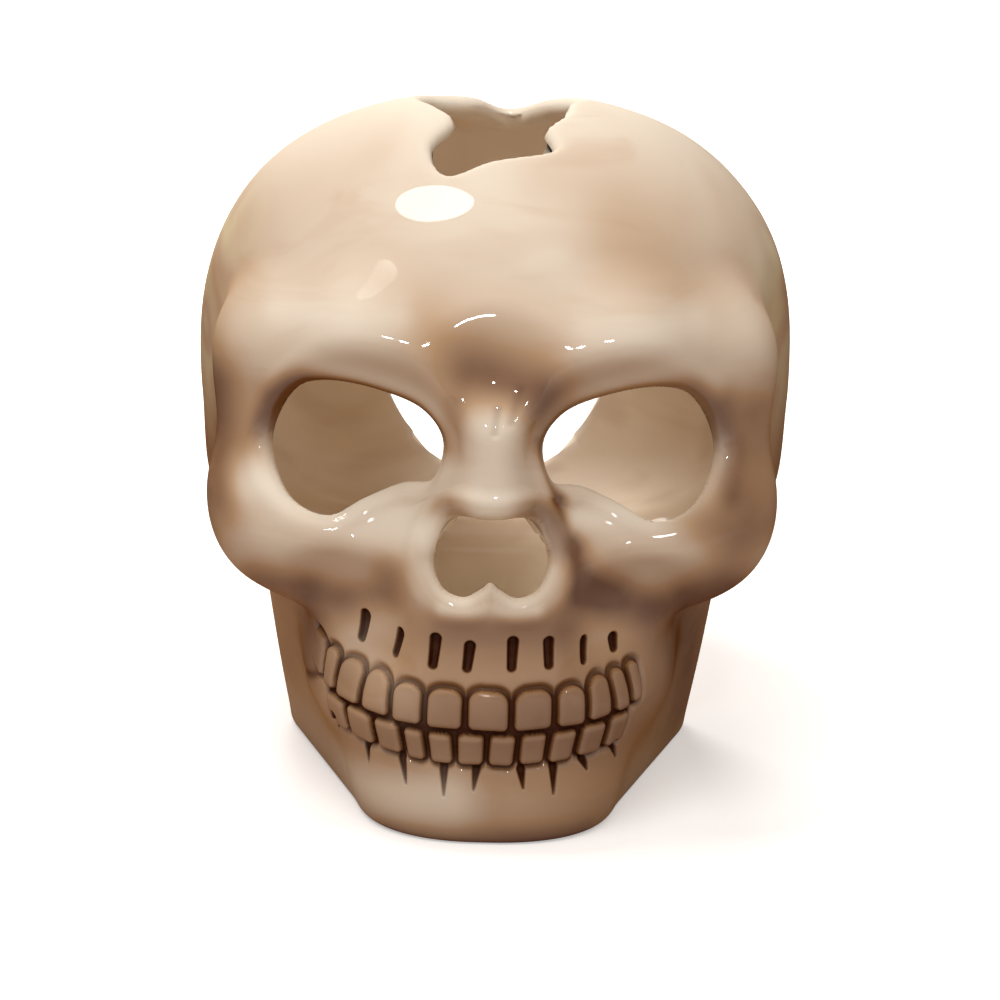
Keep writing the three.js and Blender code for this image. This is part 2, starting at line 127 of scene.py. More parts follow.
# Strokes on the face of brown stain, painted shade and painted highlight: from and to, as shares of half the
# width and of the height, then how wide as a share of the height, how strong, and how far the clay is pressed
# in as a share of the wall. A strength above 0 lays brown stain and painted shade, as beside the nose, under
# the cheekbones, in the frown, on the sides of the jaw and over the right of the forehead. One below 0 takes
# the stain off and pales the glaze as a painted highlight, as on the nose bridge, the tops of the cheekbones,
# the brows, the lip under the nose and the chin
STAIN_SHADE_AND_HIGHLIGHT_STROKES = (
    ((0.135, 0.584), (0.2, 0.496), 0.009, 0.75, 0.1), ((0.2, 0.496), (0.25, 0.436), 0.011, 0.8, 0.12),
    ((0.25, 0.436), (0.3, 0.37), 0.019, 0.85, 0.15), ((0.3, 0.37), (0.37, 0.355), 0.03, 0.95, 0.15),
    ((0.37, 0.35), (0.5, 0.325), 0.03, 0.65, 0.1), ((-0.3, 0.4), (-0.33, 0.355), 0.026, 0.4, 0.12),
    ((-0.33, 0.355), (-0.46, 0.33), 0.026, 0.35, 0.08), ((-0.46, 0.34), (-0.72, 0.36), 0.03, 0.5, 0),
    ((0.5, 0.33), (0.74, 0.36), 0.03, 0.55, 0), ((-0.18, 0.72), (0.1, 0.675), 0.055, 0.36, 0),
    ((-0.06, 0.675), (0.14, 0.648), 0.04, 0.95, 0.1), ((-0.11, 0.635), (-0.13, 0.57), 0.018, 0.45, 0.06),
    ((0.13, 0.64), (0.14, 0.575), 0.018, 0.6, 0.08), ((-0.68, 0.62), (-0.72, 0.5), 0.025, 0.5, 0),
    ((0.7, 0.62), (0.73, 0.5), 0.025, 0.65, 0), ((-0.88, 0.62), (-0.85, 0.48), 0.05, 0.75, 0),
    ((0.8, 0.6), (0.8, 0.46), 0.045, 0.6, 0), ((-0.14, 0.322), (0.2, 0.322), 0.036, 0.6, 0),
    ((-0.2, 0.2), (0.5, 0.2), 0.08, 0.4, 0), ((0.86, 0.82), (0.86, 0.68), 0.07, 0.06, 0),
    ((-0.3, 0.003), (0.3, 0.003), 0.026, 0.85, 0), ((-0.7, 0.36), (-0.68, 0.12), 0.05, 0.25, 0),
    ((0.7, 0.36), (0.7, 0.06), 0.055, 0.65, 0), ((-0.56, 0.35), (-0.6, 0.2), 0.026, 0.6, 0.1),
    ((0.6, 0.35), (0.63, 0.2), 0.022, 0.6, 0.1), ((-0.99, 0.72), (-0.94, 0.42), 0.05, 0.55, 0),
    ((0.99, 0.72), (0.95, 0.45), 0.04, 0.7, 0), ((0.14, 0.92), (0.56, 0.87), 0.05, 0.13, 0),
    ((0.36, 0.84), (0.6, 0.78), 0.06, 0.2, 0), ((-0.8, 0.84), (-0.4, 0.93), 0.05, 0.1, 0),
    ((-0.86, 0.8), (-0.86, 0.66), 0.07, 0.15, 0), ((0.54, 0.5), (0.74, 0.44), 0.035, 0.5, 0),
    ((0.01, 0.59), (0, 0.49), 0.042, -1, 0), ((-0.15, 0.83), (0.12, 0.81), 0.07, -0.3, 0),
    ((-0.72, 0.5), (-0.21, 0.455), 0.034, -1, 0), ((0.27, 0.47), (0.48, 0.475), 0.02, -0.9, 0),
    ((-0.14, 0.355), (0.14, 0.355), 0.012, -0.6, 0), ((-0.66, 0.74), (-0.3, 0.745), 0.024, -0.5, 0),
    ((0.28, 0.735), (0.6, 0.735), 0.026, -0.5, 0), ((-0.4, 0.055), (-0.12, 0.07), 0.04, -0.75, 0),
    ((-0.42, 0.27), (-0.26, 0.22), 0.035, -0.3, 0),
)

# A patch over the brow where the clear glaze lies thin: from and to, as such shares, and how wide
THIN_GLAZE_SHARES = ((-0.44, 0.8), (-0.26, 0.765), 0.055)

# How strongly painted shade and brown stain lie along the top edge of the right eye, the left eye, the nose,
# the back opening and the crown hole. The last is for a point that no opening is near to
RIM_SHADE_AND_STAIN_SHARES = np.array([0.75, 1, 0.75, 0, 0, 0])

# The fine furrows at the root of the nose and a crease of the jaw: from and to, as shares of half the width
# and of the height, then half their width and their depth as shares of the wall
FURROW_SHARES = (
    ((0.012, 0.63), (0.006, 0.6), 0.16, 0.06), ((0.075, 0.655), (0.055, 0.615), 0.2, 0.045),
    ((-0.55, 0.212), (-0.64, 0.16), 0.16, 0.1),
)

# The teeth, as shares of the widest in their row
UPPER_WIDTH_SHARES = (0.84, 0.55, 0.8, 0.78, 0.76, 0.88, 1, 0.93, 0.74, 0.67, 0.51, 0.42)
LOWER_WIDTH_SHARES = (0.98, 1, 0.88, 0.68, 0.8, 0.9, 0.88, 0.85, 0.83, 0.9, 0.83)


def length(value_mm, description):
    """A length property that is written in millimetres and kept in metres."""
    return FloatProperty(description=description, default=value_mm * MM, unit="LENGTH", subtype="DISTANCE")


def angle(value_degrees, description):
    """An angle property that is written in degrees and kept in radians."""
    return FloatProperty(
        description=description, default=value_degrees * DEGREE, unit="ROTATION", subtype="ANGLE"
    )


def colour(value, description):
    """A colour property, in linear red, green and blue."""
    return FloatVectorProperty(description=description, default=value, size=3, min=0, max=1, subtype="COLOR")


def share(value, description):
    """A plain number property."""
    return FloatProperty(description=description, default=value)


def count(value, description):
    """A whole number property."""
    return IntProperty(description=description, default=value)


class CastingSizes(bpy.types.PropertyGroup):
    wall: length(4, "Thickness of the casting's wall")
    form_blend: length(9, "How softly the swellings run into each other")
    ridge_blend: length(14, "How softly the ridges run into the rest")
    hollow_blend: length(6, "How softly the hollows are scooped")
    edge_round: length(11, "Rounding of the underside of the braincase")
    base_round: length(1.6, "Rounding of the foot of the jaw")
    cranium_setback: length(6, "From the front of the face to the forehead")
    door_bulge: length(3.4, "How far a closed dome would pass the back opening")
    crown_bulge: length(0.7, "How far a closed dome would pass the crown")
    cranium_widest: length(76, "Height at which the braincase is widest")
    occiput_height: length(36, "Height of the underside of the braincase")
    dome_squareness: share(2.4, "Exponent of the braincase seen from the front")
    dome_fullness: share(2.0, "Exponent of the braincase seen from above")
    jaw_back_width: length(87, "Width of the base at the back")
    chin_width: length(35, "Width of the base at the chin")
    chin_setback: length(5, "From the front of the face to the chin")
    jaw_depth: length(70, "From the chin to the back of the jaw")
    jaw_top: length(54, "Height at which the jaw ends inside the braincase")
    jaw_lean: length(9, "How far the sides of the jaw lean out as they rise")
    jaw_round: length(15, "Rounding of the corners of the jaw")
    hand_wobble: length(0.22, "Unevenness of a surface that was smoothed by hand")
    wobble_pitch: length(34, "Distance from one low swell of the surface to the next")


class OpeningSizes(bpy.types.PropertyGroup):
    eye_width: length(30.6, "Width of an eye opening")
    eye_height: length(24.5, "Height of an eye opening")
    eye_spacing: length(46.4, "Distance between the middles of the eyes")
    eye_middle: length(69.6, "Height of the middle of the eyes")
    nose_width: length(19.6, "Width of the nose opening")
    nose_height: length(14.2, "Height of the nose opening")
    nose_bottom: length(45.8, "Height of the lower edge of the nose")
    door_width: length(50, "Width of the back opening")
    door_height: length(49, "Height of the back opening")
    door_sill: length(43.5, "Height of the sill of the back opening")
    crown_width: length(29, "Width of the crown hole")
    crown_length: length(60, "Length of the crown hole from front to back")
    crown_setback: length(31, "From the front of the face to the crown hole")
    rim_swell: length(0.5, "How far the clay rolls up round an eye or the nose")
    rim_swell_place: length(3.0, "From the edge of an opening to the roll round it")
    rim_swell_width: length(1.7, "Half the width of that roll")


class ToothSizes(bpy.types.PropertyGroup):
    upper_width: length(7.6, "Width of the widest upper tooth with its groove")
    upper_height: length(8.1, "Height of an upper tooth with its groove")
    upper_start: length(-38.7, "Where the upper row starts round the arch")
    upper_arch: length(2.2, "Radius of the top corners of an upper tooth")
    lower_width: length(6, "Width of the widest lower tooth with its groove")
    lower_height: length(6.8, "Height of a lower tooth with its groove")
    lower_start: length(-31.5, "Where the lower row starts round the arch")
    bite: length(22.1, "Height of the line where the rows meet, at the middle")
    smile_rise: length(3.6, "How far the rows rise towards the sides")
    smile_span: length(31, "Distance round the arch over which they rise so far")
    arch_half_width: length(32.5, "Half the width of the arch of the teeth")
    arch_half_depth: length(29.5, "Depth of the arch of the teeth")
    arch_setback: length(30.5, "From the front of the face to the middle of the arch")
    proud: length(0.7, "How far a tooth stands out of the gum")
    pillow: length(1.1, "Width over which a tooth rounds off to its groove")
    corner: length(0.9, "Radius of the other corners of a tooth")
    groove_depth: length(0.8, "Depth of the carved lines")
    groove_width: length(1.1, "Width of the carved lines")
    root_width: length(1.9, "Width of the slots over the roots")
    root_depth: length(1.3, "Depth of those slots")
    nick_width: length(1.5, "Width of the nicks under the lower teeth at their top")
    nick_depth: length(0.9, "Depth of those nicks")


class SkinGrid(bpy.types.PropertyGroup):
    columns: count(720, "Facets round the outer skin")
    rows: count(470, "Facets from the nose to the back opening")
    lining_columns: count(216, "Facets round the lining")
    lining_rows: count(150, "Facets along the lining")
    mouth_turn: angle(66, "How far round from the chin the fine columns reach")
    mouth_near: angle(13, "Where the fine rows start, from the nose")
    mouth_far: angle(55, "Where the fine rows end, from the nose")
    face_far: angle(62, "Where the face ends and the dome starts, from the nose")
    fine_columns: share(3.2, "How much finer the columns are at the mouth")
    fine_rows: share(5, "How much finer the rows are at the mouth")


class GlazeColours(bpy.types.PropertyGroup):
    cream: colour((0.84, 0.755, 0.64), "The glaze where it is cleanest")
    blush: colour((0.62, 0.435, 0.295), "The pinkish beige clouds in the glaze")
    # Honey and tan also colour the painted shade that the stain layer carries, honey where it is light and
    # tan where it is darkest
    honey: colour((0.5, 0.31, 0.165), "Colour of the brown stain where it is laid thin")
    tan: colour((0.195, 0.08, 0.024), "The brown stain that lies in the hollows")
    umber: colour((0.062, 0.0165, 0.0055), "The dark wash in the carved lines")
    pearl: colour((0.80, 0.73, 0.46), "The yellowish lustre on the temples")
    # Edge also colours the painted highlights on the lit tops of the face
    edge: colour((0.92, 0.84, 0.72), "The glaze where it thins over an edge")
    # The lining's glaze is paler than the outer cream, as painted light in the dim inside of the skull
    inside: colour((0.98, 0.85, 0.69), "The glaze on the lining")


class TealightSizes(bpy.types.PropertyGroup):
    foil: length(0.4, "Thickness of the cup's wall as it is drawn")
    rim_roll: length(0.9, "Radius of the rolled rim")
    fluting: length(0.12, "Depth of the drawn flutes in the cup's side")
    flutes: count(60, "How many flutes the side has")
    meniscus: length(0.8, "How far the wax climbs at its edge and at the wick")
    collar: length(3.4, "Diameter of the collar that grips the wick")
    tab_thickness: length(0.4, "Thickness of the wick's plate")
    wick: length(1.6, "Diameter of the wick")
    braid: length(0.1, "How far the strands of the wick stand out")
    braid_pitch: length(2.4, "Length over which the strands turn once")


class StageSizes(bpy.types.PropertyGroup):
    floor_reach: length(6000, "Radius of the floor")
    camera_distance: length(450, "From the camera to the point it looks at")
    camera_elevation: angle(15, "Angle of the camera above the horizon")
    camera_roll: angle(1.2, "How far the camera is turned about its own line of sight")
    focal: length(84.24, "Focal length of the camera")
    sensor: length(36, "Width of the camera's sensor")
    look_back: length(-5, "Where the camera looks, from front to back")
    look_height: length(49.1, "The height that the camera looks at")
    frame_shift: share(0.008, "Sideways shift of the frame, as a share of its width")


GROUPS = {
    "skull_casting": CastingSizes,
    "skull_openings": OpeningSizes,
    "skull_teeth": ToothSizes,
    "skull_grid": SkinGrid,
    "skull_glaze": GlazeColours,
    "skull_tealight": TealightSizes,
    "skull_stage": StageSizes,
}


def join(a, b, blend):
    """The lesser of two distances, lowered by a parabola where they differ by less than the blend."""
    near = np.maximum(blend - np.abs(a - b), 0)
    return np.minimum(a, b) - near * near / (4 * blend)


def limit(a, b, blend):
    """The greater of two distances, rounded off in the same way."""
    return -join(-a, -b, blend)


def outside_lump(points, at, reach):
    """Distance outside an ellipsoid: the scaled distance, divided by how steeply it grows."""
    rest = points - at
    scaled = np.linalg.norm(rest / reach, axis=-1)
    steep = np.linalg.norm(rest / (reach * reach), axis=-1)
    return scaled * (scaled - 1) / np.maximum(steep, 1e-9)


def outside_bar(points, start, end, reach):
    """Distance outside a round-ended bar: the distance to the nearest point of its line, less its radius."""
    line = end - start
    along = np.clip((points - start) @ line / (line @ line), 0, 1)
    return np.linalg.norm(points - start - along[..., None] * line, axis=-1) - reach


class Casting:
    """The form of the casting as a distance, the same as the solids have."""

    # How far from the heart a ray starts inwards, in halves of the depth, how many steps it makes of one
    # half, and how often it then cuts the last step
    SETTLE_START, SETTLE_STEPS, SETTLE_CUTS = 1.35, 45, 7

    def __init__(self, scene):
        self.size = scene.skull_casting
        self.open = scene.skull_openings
        self.teeth = scene.skull_teeth
        size = self.size
        self.cranium_length = 2 * half_depth + size.door_bulge - size.cranium_setback
        self.cranium_middle = half_depth + size.door_bulge - self.cranium_length / 2
        self.jaw_front = size.chin_setback - half_depth
        self.jaw_back = self.jaw_front + size.jaw_depth
        self.lumps, self.hollows = (
            [[np.array(part) * skull_reach for part in form] for form in forms.values()]
            for forms in (LUMP_SHARES, HOLLOW_SHARES)
        )
        self.ridges = [
            (np.array(start) * skull_reach, np.array(end) * skull_reach, reach * skull_height)
            for start, end, reach in RIDGE_SHARES.values()
        ]
        heart_height = (size.occiput_height + size.cranium_widest) / 2 + size.wall
        self.heart = np.array([0, self.cranium_middle - size.form_blend, heart_height])
        self.nose_middle = self.open.nose_bottom + self.open.nose_height / 2
        self.pole_tilt = math.atan2(heart_height - self.nose_middle, half_depth + self.heart[1])

    def cranium(self, x, y, z):
        """A superellipsoid: squarer seen from the front than from above, and level underneath."""
        size = self.size
        rise = skull_height + size.crown_bulge - size.cranium_widest
        sideways = np.abs(x / half_width) ** size.dome_squareness
        upright = np.abs((z - size.cranium_widest) / rise) ** size.dome_squareness
        along = np.abs(2 * (y - self.cranium_middle) / self.cranium_length) ** size.dome_fullness
        whole = (sideways + upright) ** (size.dome_fullness / size.dome_squareness) + along
        return limit((whole ** (1 / size.dome_fullness) - 1) * rise, size.occiput_height - z, size.edge_round)

    def jaw(self, x, y, z):
        """A wedge in plan, with slanted sides that lean out as they rise, and a front and a back."""
        size = self.size
        slope = (size.jaw_back_width - size.chin_width) / 2 / size.jaw_depth
        lean = size.jaw_lean * z / size.jaw_top
        side = (x - size.chin_width / 2 - lean - (y - self.jaw_front) * slope) / math.hypot(1, slope)
        ends = limit(self.jaw_front - y, y - self.jaw_back, size.jaw_round)
        return limit(limit(side, ends, size.jaw_round), z - size.jaw_top, size.edge_round)

    def outside(self, points, foot=True):
        """The whole form: swellings and ridges joined on, hollows scooped out, and the foot cut flat."""
        size = self.size
        folded = points.copy()
        folded[..., 0] = np.abs(folded[..., 0])
        x, y, z = folded[..., 0], folded[..., 1], folded[..., 2]
        gap = join(self.cranium(x, y, z), self.jaw(x, y, z), size.form_blend)
        for at, reach in self.lumps:
            gap = join(gap, outside_lump(folded, at, reach), size.form_blend)
        for start, end, reach in self.ridges:
            gap = join(gap, outside_bar(folded, start, end, reach), size.ridge_blend)
        for at, reach in self.hollows:
            gap = limit(gap, -outside_lump(folded, at, reach), size.hollow_blend)
        return limit(gap, -z, size.base_round) if foot else gap

    def slope(self, points, **options):
        """The unit normal and how steeply the distance grows along it, from central differences."""
        step = MM / 4
        normal = np.stack([
            (self.outside(points + axis, **options) - self.outside(points - axis, **options)) / (2 * step)
            for axis in np.eye(3) * step
        ], -1)
        steep = np.linalg.norm(normal, axis=-1)
        return normal / steep[:, None], steep

    def gap(self, at, depth, lining):
        """Distance outside the skin, or outside the lining, which has a level floor a wall above the foot."""
        if not lining:
            return self.outside(at)
        floor = self.size.wall - at[:, 2]
        return limit(self.outside(at, foot=False) + depth, floor, self.size.hollow_blend / 2)

    def settle(self, rays, depth, lining):
        """How far along each ray the form lies: steps inwards until one is inside, then the secant and the
        middle of the last step by turns."""
        outer = np.full(len(rays), self.SETTLE_START * half_depth)
        step = half_depth / self.SETTLE_STEPS
        outer_gap, inner_gap = np.full(len(rays), step), np.full(len(rays), -step)
        moving = np.arange(len(rays))
        while len(moving) and outer[moving[0]] > step:
            gap = self.gap(self.heart + rays[moving] * (outer[moving] - step)[:, None], depth, lining)
            outside = gap > 0
            inner_gap[moving[~outside]] = gap[~outside]
            moving, gap = moving[outside], gap[outside]
            outer[moving] -= step
            outer_gap[moving] = gap
        inner = outer - step
        for turn in range(self.SETTLE_CUTS):
            part = outer_gap / (outer_gap - inner_gap) if turn % 3 else 0.5
            middle = outer - (outer - inner) * part
            gap = self.gap(self.heart + rays * middle[:, None], depth, lining)
            beyond = gap > 0
            outer, inner = np.where(beyond, middle, outer), np.where(beyond, inner, middle)
            outer_gap, inner_gap = np.where(beyond, gap, outer_gap), np.where(beyond, inner_gap, gap)
        return outer - (outer - inner) * outer_gap / (outer_gap - inner_gap)


def smooth_loop(outline_shares, width, height, steps=16):
    """A closed Catmull-Rom curve through the corners, as an array of points."""
    corners = np.array(outline_shares) * (width / 2, height / 2)
    before, after = np.roll(corners, 1, 0), np.roll(corners, -1, 0)
    further = np.roll(corners, -2, 0)
    t = np.linspace(0, 1, steps, endpoint=False)[None, :, None]
    a, b, c, d = before[:, None], corners[:, None], after[:, None], further[:, None]
    curve = (
        2 * b + (c - a) * t + (2 * a - 5 * b + 4 * c - d) * t**2 + (3 * b - a - 3 * c + d) * t**3
    ) / 2
    return curve.reshape(-1, 2)


def outside_loop(points, loop):
    """Signed distance to a closed outline, above 0 outside it, and the unit way that leads out."""
    start, end = loop, np.roll(loop, -1, 0)
    line = end - start
    rest = points[:, None] - start
    along = np.clip((rest * line).sum(-1) / (line * line).sum(-1), 0, 1)
    off = rest - along[..., None] * line
    far = np.linalg.norm(off, axis=-1)
    nearest = far.argmin(1)
    pick = np.arange(len(points))
    gap, way = far[pick, nearest], off[pick, nearest]
    above = start[:, 1] > points[:, None, 1]
    crossing = above != (end[:, 1] > points[:, None, 1])
    rise = np.where(crossing, line[:, 1], 1)
    at = start[:, 0] + (points[:, None, 1] - start[:, 1]) * line[:, 0] / rise
    inside = (crossing & (points[:, None, 0] < at)).sum(1) % 2 == 1
    sign = np.where(inside, -1, 1)
    return gap * sign, way * (sign / np.maximum(gap, 1e-9))[:, None]


def in_front(points):
    """Whether each point is where the eyes and the nose can be."""
    return points[:, 1] < 0


def behind(points):
    """Whether each point is where the back opening can be."""
    return points[:, 1] > half_depth / 4


def on_top(points):
    """Whether each point is where the crown hole can be."""
    return points[:, 2] > 0.75 * skull_height


class Openings:
    """The five openings: each an outline seen along one axis, on one side of the skull."""

    def __init__(self, casting):
        sizes = casting.open
        eye = smooth_loop(EYE_OUTLINE_SHARES, sizes.eye_width, sizes.eye_height)
        eye_at = np.array([sizes.eye_spacing / 2, sizes.eye_middle])
        nose = smooth_loop(NOSE_OUTLINE_SHARES, sizes.nose_width, sizes.nose_height)
        door = smooth_loop(DOOR_OUTLINE_SHARES, sizes.door_width, sizes.door_height)
        crown = smooth_loop(CROWN_OUTLINE_SHARES, sizes.crown_width, sizes.crown_length)
        crown_middle = sizes.crown_setback - half_depth + sizes.crown_length / 2
        from_front, from_above = (0, 2), (0, 1)
        self.all = {
            "right_eye": (eye + eye_at, from_front, in_front),
            "left_eye": (eye * (-1, 1) + eye_at * (-1, 1), from_front, in_front),
            "nose": (nose + (0, casting.nose_middle), from_front, in_front),
            "door": (door + (0, sizes.door_sill + sizes.door_height / 2), from_front, behind),
            "crown": (crown + (0, crown_middle), from_above, on_top),
        }

    def measure(self, points, reach):
        """Least signed distance to any opening, the way out of it in space, and which opening it is."""
        gap = np.full(len(points), reach)
        way = np.zeros_like(points)
        which = np.full(len(points), -1)
        for number, (loop, axes, side) in enumerate(self.all.values()):
            flat = points[:, axes]
            near = side(points)
            for axis in (0, 1):
                low, high = loop[:, axis].min() - reach, loop[:, axis].max() + reach
                near = near & (flat[:, axis] > low) & (flat[:, axis] < high)
            idx = np.nonzero(near)[0]
            if not len(idx):
                continue
            found, out = outside_loop(flat[idx], loop)
            closer = found < gap[idx]
            chosen = idx[closer]
            gap[chosen] = found[closer]
            turned = np.zeros((len(chosen), 3))
            turned[:, axes] = out[closer]
            way[chosen] = turned
            which[chosen] = number
        return gap, way, which


def crowded(start, end, places, thick, wrap):
    """Places from start to end that crowd together where the weight called thick is high: equal steps along
    the running sum of the weight, taken on a fine scale."""
    fine = np.linspace(start, end, 4001)
    running = np.concatenate([[0], np.cumsum(thick((fine[1:] + fine[:-1]) / 2))])
    steps = (np.arange(places) + (0 if wrap else 0.5)) / places
    return np.interp(steps, running / running[-1], fine)


def ray_grid(casting, grid, columns, rows):
    """Unit rays on a ball whose poles point at the nose and the back opening, finer at the mouth, and the two
    angles of each: from the nose, and round from the chin."""
    middle, reach = (grid.mouth_near + grid.mouth_far) / 2, (grid.mouth_far - grid.mouth_near) / 2

    def finer(times, centre, span):
        """A weight so many times finer within a span of a centre, with a steep fall beyond it."""
        return lambda angles: 1 + (times - 1) * np.exp(-(np.abs(angles - centre) / span) ** 10)

    polar = crowded(0, math.pi, rows, finer(grid.fine_rows, middle, reach * 1.08), False)
    around = crowded(-math.pi, math.pi, columns, finer(grid.fine_columns, 0, grid.mouth_turn * 1.05), True)
    polar, around = np.meshgrid(polar, around, indexing="ij")
    x, y, z = np.sin(polar) * np.sin(around), -np.cos(polar), -np.sin(polar) * np.cos(around)
    tilt = casting.pole_tilt
    turned_y = y * math.cos(tilt) - z * math.sin(tilt)
    turned_z = y * math.sin(tilt) + z * math.cos(tilt)
    return np.stack([x, turned_y, turned_z], -1).reshape(-1, 3), polar.ravel(), around.ravel()


def grid_faces(columns, rows):
    """Quads between neighbouring rows and columns. The last column joins the first."""
    row, column = np.meshgrid(np.arange(rows - 1), np.arange(columns), indexing="ij")
    after = (column + 1) % columns
    here, next_row = row * columns, (row + 1) * columns
    return np.stack([here + column, next_row + column, next_row + after, here + after], -1).reshape(-1, 4)


def hash_wave(numbers, seed):
    """A fixed, scattered number from -1 to 1 for each whole number."""
    return 2 * np.modf(np.abs(np.sin((numbers + 1) * 12.9898 + seed * 78.233)) * 43758.5453)[0] - 1


def wobble(points, pitch):
    """A gentle unevenness: the mean of sine swells along slanted ways, each of its own pitch."""
    ways = np.array([[1, 0.3, 0.2], [-0.4, 1, 0.5], [0.3, -0.6, 1], [0.9, 0.8, -0.7], [-0.8, 0.5, 0.9]])
    phase = points @ (ways.T * (2 * math.pi / pitch)) + np.array([0.3, 1.7, 2.9, 4.1, 5.3])
    return np.sin(phase).mean(-1)


def box_gap(across, up, half_across, half_up, corner):
    """Signed distance to a rectangle with rounded corners, below 0 inside it."""
    over_x = np.abs(across) - half_across + corner
    over_y = np.abs(up) - half_up + corner
    rest = np.hypot(np.maximum(over_x, 0), np.maximum(over_y, 0))
    return rest + np.minimum(np.maximum(over_x, over_y), 0) - corner


def rising(value, low, high):
    """0 below low, 1 above high, and a soft step between."""
    part = np.clip((value - low) / (high - low), 0, 1)
    return part * part * (3 - 2 * part)


def carve(gap, half_width_of_line):
    """The cross-section of a carved line: 1 at its middle and falling off as a bell."""
    return np.exp(-((gap / half_width_of_line) ** 2))


def on_face(points):
    """1 over the front of the skull, 0 behind its first three eighths, and a soft step between."""
    return rising(-points[:, 1], half_depth / 4, half_depth / 2.6)


class Mouth:
    """The carved teeth: what they add to and take from the skin, and where the dark wash lies."""

    # How far a tooth may lean and widen, as a slope, and how far it may stand up or down
    UNEVEN_SLOPE, UNEVEN_LIFT = 0.06, 0.2 * MM

    # Up to how many heights of the bite the carving reaches. The bite line: half its width, how far it passes
    # the last teeth, and over what distance it ends
    CARVING_TOP = 2.1
    BITE_HALF_WIDTH, ROW_MARGIN, ROW_FADE = 1.3 * MM, 2 * MM, 3 * MM

    # Of the width of a groove: over how much it fades into the gum, and over how much its wash does. Then by
    # how much the wash is weaker over the upper teeth
    GROOVE_FADE, WASH_FADE, WASH_ABOVE = 0.55, 0.25, 0.3

    # How strongly and how far the wash bleeds out of the carving as stain
    BLEED, BLEED_REACH = 0.35, 1.2 * MM

    def __init__(self, casting):
        self.size = casting.teeth
        self.middle = self.size.arch_setback - half_depth

    def on_arch(self, points):
        """Distance round the arch of the teeth, and height less the rise of the smile there."""
        size = self.size
        across = points[:, 0] / size.arch_half_width
        forward = (self.middle - points[:, 1]) / size.arch_half_depth
        along = np.arctan2(across, forward) * (size.arch_half_width + size.arch_half_depth) / 2
        return along, points[:, 2] - size.smile_rise * (along / size.smile_span) ** 2

    def row(self, along, up, start, widths, height, middle, arch, seed):
        """Signed distance to the nearest tooth of a row, each a little uneven as cut by hand. The top corners
        take the radius called arch, and the others the common one."""
        size = self.size
        gap = np.full(len(along), height)
        edge = start
        for number, width in enumerate(widths):
            lean, lift, grow = (hash_wave(number, seed + k) for k in range(3))
            across = along - edge - width / 2 + (up - middle) * self.UNEVEN_SLOPE * lean
            rise = up - middle - lift * self.UNEVEN_LIFT + across * self.UNEVEN_SLOPE * grow
            half, tall = (width - size.groove_width) / 2, (height - size.groove_width) / 2
            corner = np.where(rise > 0, min(arch, half), min(size.corner, half))
            gap = np.minimum(gap, box_gap(across, rise, half, tall, corner))
            edge += width
        return gap

    def cut(self, along, up, top, foot, wide_top, wide_foot):
        """Signed distance to a tapered cut: distance to its line less half its width there."""
        start = np.array(top) * (self.size.arch_half_width, self.size.bite)
        line = np.array(foot) * (self.size.arch_half_width, self.size.bite) - start
        rest = np.stack([along, up], -1) - start
        t = np.clip(rest @ line / (line @ line), 0, 1)
        return np.linalg.norm(rest - t[:, None] * line, axis=-1) - (wide_top + (wide_foot - wide_top) * t) / 2

    def shape(self, points):
        """Relief in metres along the normal, the wash from 0 to 1, and how it bleeds into the glaze. A tooth
        swells as a quarter circle over its edge. A groove is a flat trough that fades out into the gum."""
        size = self.size
        relief, wash, bleed = np.zeros((3, len(points)))
        low = points[:, 2] < self.CARVING_TOP * size.bite
        near = np.nonzero((points[:, 1] < -half_depth / 5) & low)[0]
        along, up = self.on_arch(points[near])
        upper_widths = np.array(UPPER_WIDTH_SHARES) * size.upper_width
        lower_widths = np.array(LOWER_WIDTH_SHARES) * size.lower_width
        upper = self.row(along, up, size.upper_start, upper_widths, size.upper_height,
                         size.bite + size.upper_height / 2, size.upper_arch, 1)
        lower = self.row(along, up, size.lower_start, lower_widths, size.lower_height,
                         size.bite - size.lower_height / 2, size.corner, 5)
        gap = np.minimum(upper, lower)
        inside = np.clip(-gap / size.pillow, 0, 1)
        swell = size.proud * np.sqrt(1 - (1 - inside) ** 2)
        half_row = lower_widths.sum() / 2
        off_middle = np.abs(along - size.lower_start - half_row)
        in_row = rising(half_row + self.ROW_MARGIN - off_middle, 0, self.ROW_FADE)
        between = carve(up - size.bite, self.BITE_HALF_WIDTH) * in_row
        beyond = np.maximum(gap - size.groove_width * 0.5, 0) * (1 - between)
        trough = rising(gap, -0.1 * MM, 0.25 * MM) * carve(beyond, size.groove_width * self.GROOVE_FADE)
        row_top = size.bite + size.upper_height
        above = rising(up, row_top - size.upper_arch, row_top)
        dark = rising(gap, -0.06 * MM, 0.1 * MM) * carve(beyond, size.groove_width * self.WASH_FADE)
        dark = dark * (1 - self.WASH_ABOVE * above)
        form = swell - size.groove_depth * trough
        for places, wide, taper, deep, flank_start, flank_end, dark_start in (
            (ROOT_SLOT_SHARES, size.root_width, 0.8, size.root_depth, -0.2 * MM, 0.5 * MM, -0.18 * MM),
            (NICK_SHARES, size.nick_width, 0.15, size.nick_depth, -0.25 * MM, 0.4 * MM, -0.2 * MM),
        ):
            for top, foot in places:
                inwards = -self.cut(along, up, top, foot, wide, wide * taper)
                form = form - deep * rising(inwards, flank_start, flank_end)
                dark = np.maximum(dark, rising(inwards, dark_start, 0.1 * MM))
        front = on_face(points[near])
        relief[near], wash[near] = form * front, dark * front
        bleed[near] = self.BLEED * carve(np.maximum(gap, 0), self.BLEED_REACH) * front
        return relief, wash, bleed


